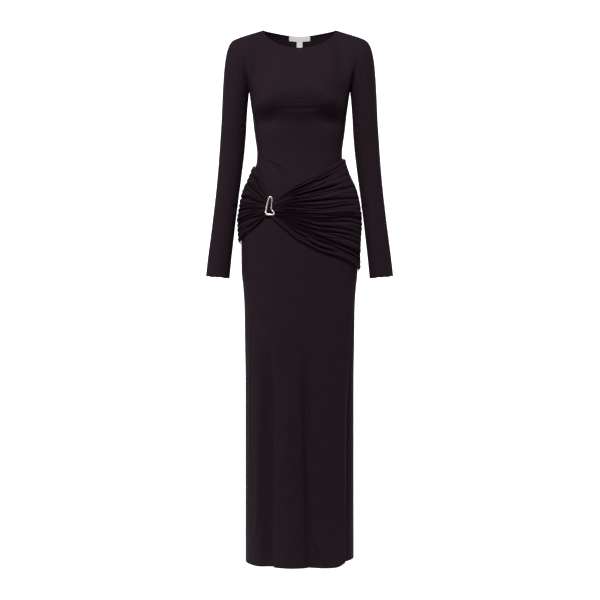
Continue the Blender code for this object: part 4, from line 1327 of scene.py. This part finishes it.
def jersey_material(cloth):
    """Near-black aubergine jersey: fine knit, a faint mottle and a soft sheen, with painted shade
    and a painted highlight from the hollow attribute.
    """
    material = bpy.data.materials.new("aubergine_jersey")
    material.use_nodes = True
    tree = material.node_tree
    shader = tree.nodes["Principled BSDF"]
    knit = tree.nodes.new("ShaderNodeGroup")
    knit.node_tree = knit_group()
    set_inputs(knit, {"Wale": cloth.wale, "Course": cloth.wale * COURSE_SHARE})
    tone = tree.nodes.new("ShaderNodeMix")
    tone.data_type = "RGBA"
    colour = np.array(cloth.colour)
    tone.inputs["A"].default_value = (*(colour * (1.0 - MOTTLE_SHARE)), 1.0)
    tone.inputs["B"].default_value = (*(colour * (1.0 + MOTTLE_SHARE)), 1.0)
    tree.links.new(knit.outputs["Mottle"], tone.inputs["Factor"])
    # Painted shade: the hollow attribute darkens the colour in folds and hollows, and where it is
    # below zero it lightens it as a painted highlight.
    shade = tree.nodes.new("ShaderNodeAttribute")
    shade.attribute_name = "hollow"
    painted_shade_share = maths(tree, "MULTIPLY", shade.outputs["Fac"], FOLD_SHADE)
    kept = maths(tree, "SUBTRACT", 1.0, painted_shade_share)
    shaded = tree.nodes.new("ShaderNodeVectorMath")
    shaded.operation = "SCALE"
    tree.links.new(tone.outputs["Result"], shaded.inputs[0])
    tree.links.new(kept, shaded.inputs["Scale"])
    tree.links.new(shaded.outputs["Vector"], shader.inputs["Base Color"])
    spread = maths(tree, "MULTIPLY", knit.outputs["Mottle"], ROUGHNESS_SPREAD)
    rough = maths(tree, "ADD", spread, cloth.roughness - ROUGHNESS_SPREAD / 2.0)
    tree.links.new(rough, shader.inputs["Roughness"])
    bump = tree.nodes.new("ShaderNodeBump")
    set_inputs(bump, {"Strength": KNIT_BUMP, "Distance": KNIT_HEIGHT})
    tree.links.new(knit.outputs["Height"], bump.inputs["Height"])
    tree.links.new(bump.outputs["Normal"], shader.inputs["Normal"])
    set_inputs(shader, JERSEY_SHEEN)
    return material


def metal_material(ring):
    """Polished pale metal, with faint wear in its roughness."""
    material = bpy.data.materials.new("polished_ring_metal")
    material.use_nodes = True
    tree = material.node_tree
    shader = tree.nodes["Principled BSDF"]
    place = tree.nodes.new("ShaderNodeTexCoord")
    noise = tree.nodes.new("ShaderNodeTexNoise")
    set_inputs(noise, WEAR)
    tree.links.new(place.outputs["Object"], noise.inputs["Vector"])
    spread = maths(tree, "MULTIPLY", noise.outputs["Fac"], WEAR_SPREAD)
    rough = maths(tree, "ADD", spread, ring.roughness)
    tree.links.new(rough, shader.inputs["Roughness"])
    set_inputs(shader, {"Base Color": (*ring.colour, 1.0), "Metallic": 1.0})
    return material


def plain_material(name, colour, roughness):
    """A plain matt finish of one colour."""
    material = bpy.data.materials.new(name)
    material.use_nodes = True
    set_inputs(
        material.node_tree.nodes["Principled BSDF"],
        {"Base Color": (*colour, 1.0), "Roughness": roughness},
    )
    return material


class DressCloth(bpy.types.PropertyGroup):
    """Sizes and colours of the jersey."""

    thickness: bpy.props.FloatProperty(
        name="Thickness",
        description="Thickness of the jersey",
        default=0.0011,
        unit="LENGTH",
    )
    row_step: bpy.props.FloatProperty(
        name="Row step",
        description="Height between the rows of points of a panel",
        default=0.004,
        unit="LENGTH",
    )
    wale: bpy.props.FloatProperty(
        name="Wale",
        description="Width of one column of knit stitches",
        default=0.0009,
        unit="LENGTH",
    )
    colour: bpy.props.FloatVectorProperty(
        name="Colour",
        description="Colour of the yarn",
        default=(0.0182, 0.0112, 0.0157),
        subtype="COLOR",
        size=3,
        min=0.0,
        max=1.0,
    )
    roughness: bpy.props.FloatProperty(
        name="Roughness",
        description="Roughness of the jersey's face",
        default=0.58,
        subtype="FACTOR",
        min=0.0,
        max=1.0,
    )


class DressOverlay(bpy.types.PropertyGroup):
    """How deep the overlay's folds are."""

    fold_depth: bpy.props.FloatProperty(
        name="Fold depth",
        description="Share of the creases' own depths",
        default=1.55,
        subtype="FACTOR",
        min=0.0,
        max=2.0,
    )
    gather_depth: bpy.props.FloatProperty(
        name="Gather depth",
        description="Share of the seam gathers' own height",
        default=1.0,
        subtype="FACTOR",
        min=0.0,
        max=2.0,
    )


class DressRing(bpy.types.PropertyGroup):
    """Size and finish of the ring."""

    wire_radius: bpy.props.FloatProperty(
        name="Wire radius",
        description="Half the thickness of the ring's wire",
        default=0.0022,
        unit="LENGTH",
    )
    colour: bpy.props.FloatVectorProperty(
        name="Colour",
        description="Colour of the metal",
        default=(0.93, 0.86, 0.83),
        subtype="COLOR",
        size=3,
        min=0.0,
        max=1.0,
    )
    roughness: bpy.props.FloatProperty(
        name="Roughness",
        description="Roughness of the polished metal",
        default=0.24,
        subtype="FACTOR",
        min=0.0,
        max=1.0,
    )


class DressStage(bpy.types.PropertyGroup):
    """Camera, floor and backdrop round the dress."""

    camera_distance: bpy.props.FloatProperty(
        name="Camera distance",
        description="From the camera to the middle of the dress",
        default=3.6,
        unit="LENGTH",
    )
    camera_height: bpy.props.FloatProperty(
        name="Camera height",
        description="Height of the level camera, below the shoulders",
        default=-0.729,
        unit="LENGTH",
    )
    lens: bpy.props.FloatProperty(
        name="Lens",
        description="Focal length, in millimetres",
        default=80.0,
        unit="CAMERA",
    )
    floor_drop: bpy.props.FloatProperty(
        name="Floor drop",
        description="Height of the hem above the floor",
        default=0.16,
        unit="LENGTH",
    )
    backdrop_distance: bpy.props.FloatProperty(
        name="Backdrop distance",
        description="From the dress back to the backdrop",
        default=4.8,
        unit="LENGTH",
    )


class DRESS_OT_stage(bpy.types.Operator):
    """Pale floor and backdrop, soft studio lights and the camera"""

    bl_idname = "dress.stage"
    bl_label = "Stage"

    def execute(self, context):
        stage = context.scene.dress_stage
        floor_z = FRAME_BOX[0][2] - stage.floor_drop
        make_backdrop(stage, floor_z)
        make_lights(context.scene)
        make_camera(context.scene, stage)
        return {"FINISHED"}


def make_backdrop(stage, floor_z):
    """Floor and wall as one sweep: straight, a quarter circle, and straight up."""
    turn = np.linspace(0.0, math.pi / 2.0, SWEEP_STEPS)
    wall_y = stage.backdrop_distance
    bend_y = wall_y - SWEEP_BEND + SWEEP_BEND * np.sin(turn)
    y = np.concatenate([[SWEEP_FRONT_Y], bend_y, [wall_y]])
    z = np.concatenate([[0.0], SWEEP_BEND - SWEEP_BEND * np.cos(turn), [SWEEP_HEIGHT]]) + floor_z
    x, y = np.meshgrid(np.linspace(-SWEEP_REACH, SWEEP_REACH, 3), y)
    points = np.stack([x, y, np.broadcast_to(z[:, None], x.shape)], axis=-1)
    index = np.arange(x.size).reshape(x.shape)
    white = plain_material("studio_paper", PAPER_COLOUR, PAPER_ROUGHNESS)
    glow = {"Emission Color": WHITE, "Emission Strength": PAPER_GLOW}
    set_inputs(white.node_tree.nodes["Principled BSDF"], glow)
    make_piece("studio_sweep", points.reshape(-1, 3) / MM, grid_quads(index), white)


def make_lights(scene):
    """A key light high in front, a small fill, two edge lights, one for the wall, and a dim room.

    A light faces its target: it is tilted by the angle from straight up, then turned.
    """
    for name, where, target, size, power in LIGHTS:
        data = bpy.data.lights.new(name, "AREA")
        data.shape = "SQUARE"
        data.size = size
        data.energy = power
        lamp = bpy.data.objects.new(name, data)
        lamp.location = where
        away = np.array(where) - np.array(target)
        tilt = math.acos(away[2] / np.linalg.norm(away))
        lamp.rotation_euler = (tilt, 0.0, math.atan2(away[1], away[0]) + math.pi / 2.0)
        scene.collection.objects.link(lamp)
    room = bpy.data.worlds.new("white_room")
    room.use_nodes = True
    set_inputs(room.node_tree.nodes["Background"], {"Color": WHITE, "Strength": ROOM_LIGHT})
    scene.world = room
    scene.view_settings.view_transform = "Standard"


def make_camera(scene, stage):
    """A level camera straight in front of the dress."""
    data = bpy.data.cameras.new("front_camera")
    data.lens = stage.lens
    data.sensor_width = SENSOR_WIDTH
    camera = bpy.data.objects.new("front_camera", data)
    camera.location = (CAMERA_X, -stage.camera_distance, stage.camera_height)
    camera.rotation_euler = (math.pi / 2.0, 0.0, 0.0)
    scene.collection.objects.link(camera)
    scene.camera = camera


class DRESS_OT_front(bpy.types.Operator):
    """Front bodice and front skirt"""

    bl_idname = "dress.front"
    bl_label = "Front"

    def execute(self, context):
        cloth = context.scene.dress_cloth
        bodice, skirt = body_pieces("front", -1, FRONT_COLUMNS, cloth, jersey(cloth))
        return {"FINISHED"}


class DRESS_OT_back(bpy.types.Operator):
    """Back bodice and back skirt"""

    bl_idname = "dress.back"
    bl_label = "Back"

    def execute(self, context):
        cloth = context.scene.dress_cloth
        bodice, skirt = body_pieces("back", 1, BACK_COLUMNS, cloth, jersey(cloth))
        return {"FINISHED"}


class DRESS_OT_sleeves(bpy.types.Operator):
    """Both long sleeves"""

    bl_idname = "dress.sleeves"
    bl_label = "Sleeves"

    def execute(self, context):
        cloth = context.scene.dress_cloth
        for name, sign in (("sleeve_left", 1.0), ("sleeve_right", -1.0)):
            points, normals = sleeve_points(sign)
            piece = shell(
                name + "_cloth", points, normals, cloth.thickness / MM, jersey(cloth), turned=True
            )
            settle(piece, "jersey", name)
            line = line_inside(points[::-1], normals[::-1], CUFF_HEM_DEPTH)
            settle(stitch_piece(name + "_stitches", [line], jersey(cloth)), "jersey")
        return {"FINISHED"}


class DRESS_OT_overlay(bpy.types.Operator):
    """Hip overlay, gathered into both side seams and drawn through the ring"""

    bl_idname = "dress.overlay"
    bl_label = "Hip overlay"

    def execute(self, context):
        scene = context.scene
        piece = overlay_piece(scene.dress_overlay, jersey(scene.dress_cloth))
        return {"FINISHED"}


class DRESS_OT_ring(bpy.types.Operator):
    """Bent wire ring on the wearer's right hip"""

    bl_idname = "dress.ring"
    bl_label = "Ring"

    def execute(self, context):
        ring = context.scene.dress_ring
        ring_piece(ring, metal_material(ring))
        return {"FINISHED"}


class DRESS_OT_labels(bpy.types.Operator):
    """Bare woven label and size tab inside the back neck"""

    bl_idname = "dress.labels"
    bl_label = "Labels"

    def execute(self, context):
        white = plain_material("woven_label_tape", TAPE_COLOUR, TAPE_ROUGHNESS)
        for name in ("label", "size_tab"):
            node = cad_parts[name]
            node.data.materials.clear()
            node.data.materials.append(white)
        return {"FINISHED"}


def jersey(cloth):
    """The jersey's material, made once."""
    return bpy.data.materials.get("aubergine_jersey") or jersey_material(cloth)


class DRESS_PT_panel(bpy.types.Panel):
    """Sizes and colours of the dress, and its pieces in the order they are made"""

    bl_idname = "DRESS_PT_panel"
    bl_label = "Maxi dress"
    bl_space_type = "VIEW_3D"
    bl_region_type = "UI"
    bl_category = "Dress"

    def draw(self, context):
        layout = self.layout
        for group in PROPERTY_GROUPS:
            box = layout.box()
            values = getattr(context.scene, group)
            for name in values.bl_rna.properties.keys():
                if name not in ("rna_type", "name"):
                    box.prop(values, name)
        for operator in OPERATORS:
            layout.operator(operator.bl_idname)


PROPERTY_GROUPS = {
    "dress_cloth": DressCloth,
    "dress_overlay": DressOverlay,
    "dress_ring": DressRing,
    "dress_stage": DressStage,
}
OPERATORS = (
    DRESS_OT_stage,
    DRESS_OT_front,
    DRESS_OT_back,
    DRESS_OT_sleeves,
    DRESS_OT_overlay,
    DRESS_OT_ring,
    DRESS_OT_labels,
)


def register():
    """Registers the property groups, the operators and the panel."""
    for name, group in PROPERTY_GROUPS.items():
        bpy.utils.register_class(group)
        setattr(bpy.types.Scene, name, bpy.props.PointerProperty(type=group))
    for each in (*OPERATORS, DRESS_PT_panel):
        bpy.utils.register_class(each)


def unregister():
    """Takes away what register added, in the opposite order."""
    for each in reversed((*OPERATORS, DRESS_PT_panel)):
        bpy.utils.unregister_class(each)
    for name, group in reversed(PROPERTY_GROUPS.items()):
        delattr(bpy.types.Scene, name)
        bpy.utils.unregister_class(group)


def main():
    """Builds the stage and every piece."""
    register()
    bpy.ops.dress.stage()
    bpy.ops.dress.front()
    bpy.ops.dress.back()
    bpy.ops.dress.sleeves()
    bpy.ops.dress.overlay()
    bpy.ops.dress.ring()
    bpy.ops.dress.labels()


if __name__ == "__main__":
    main()
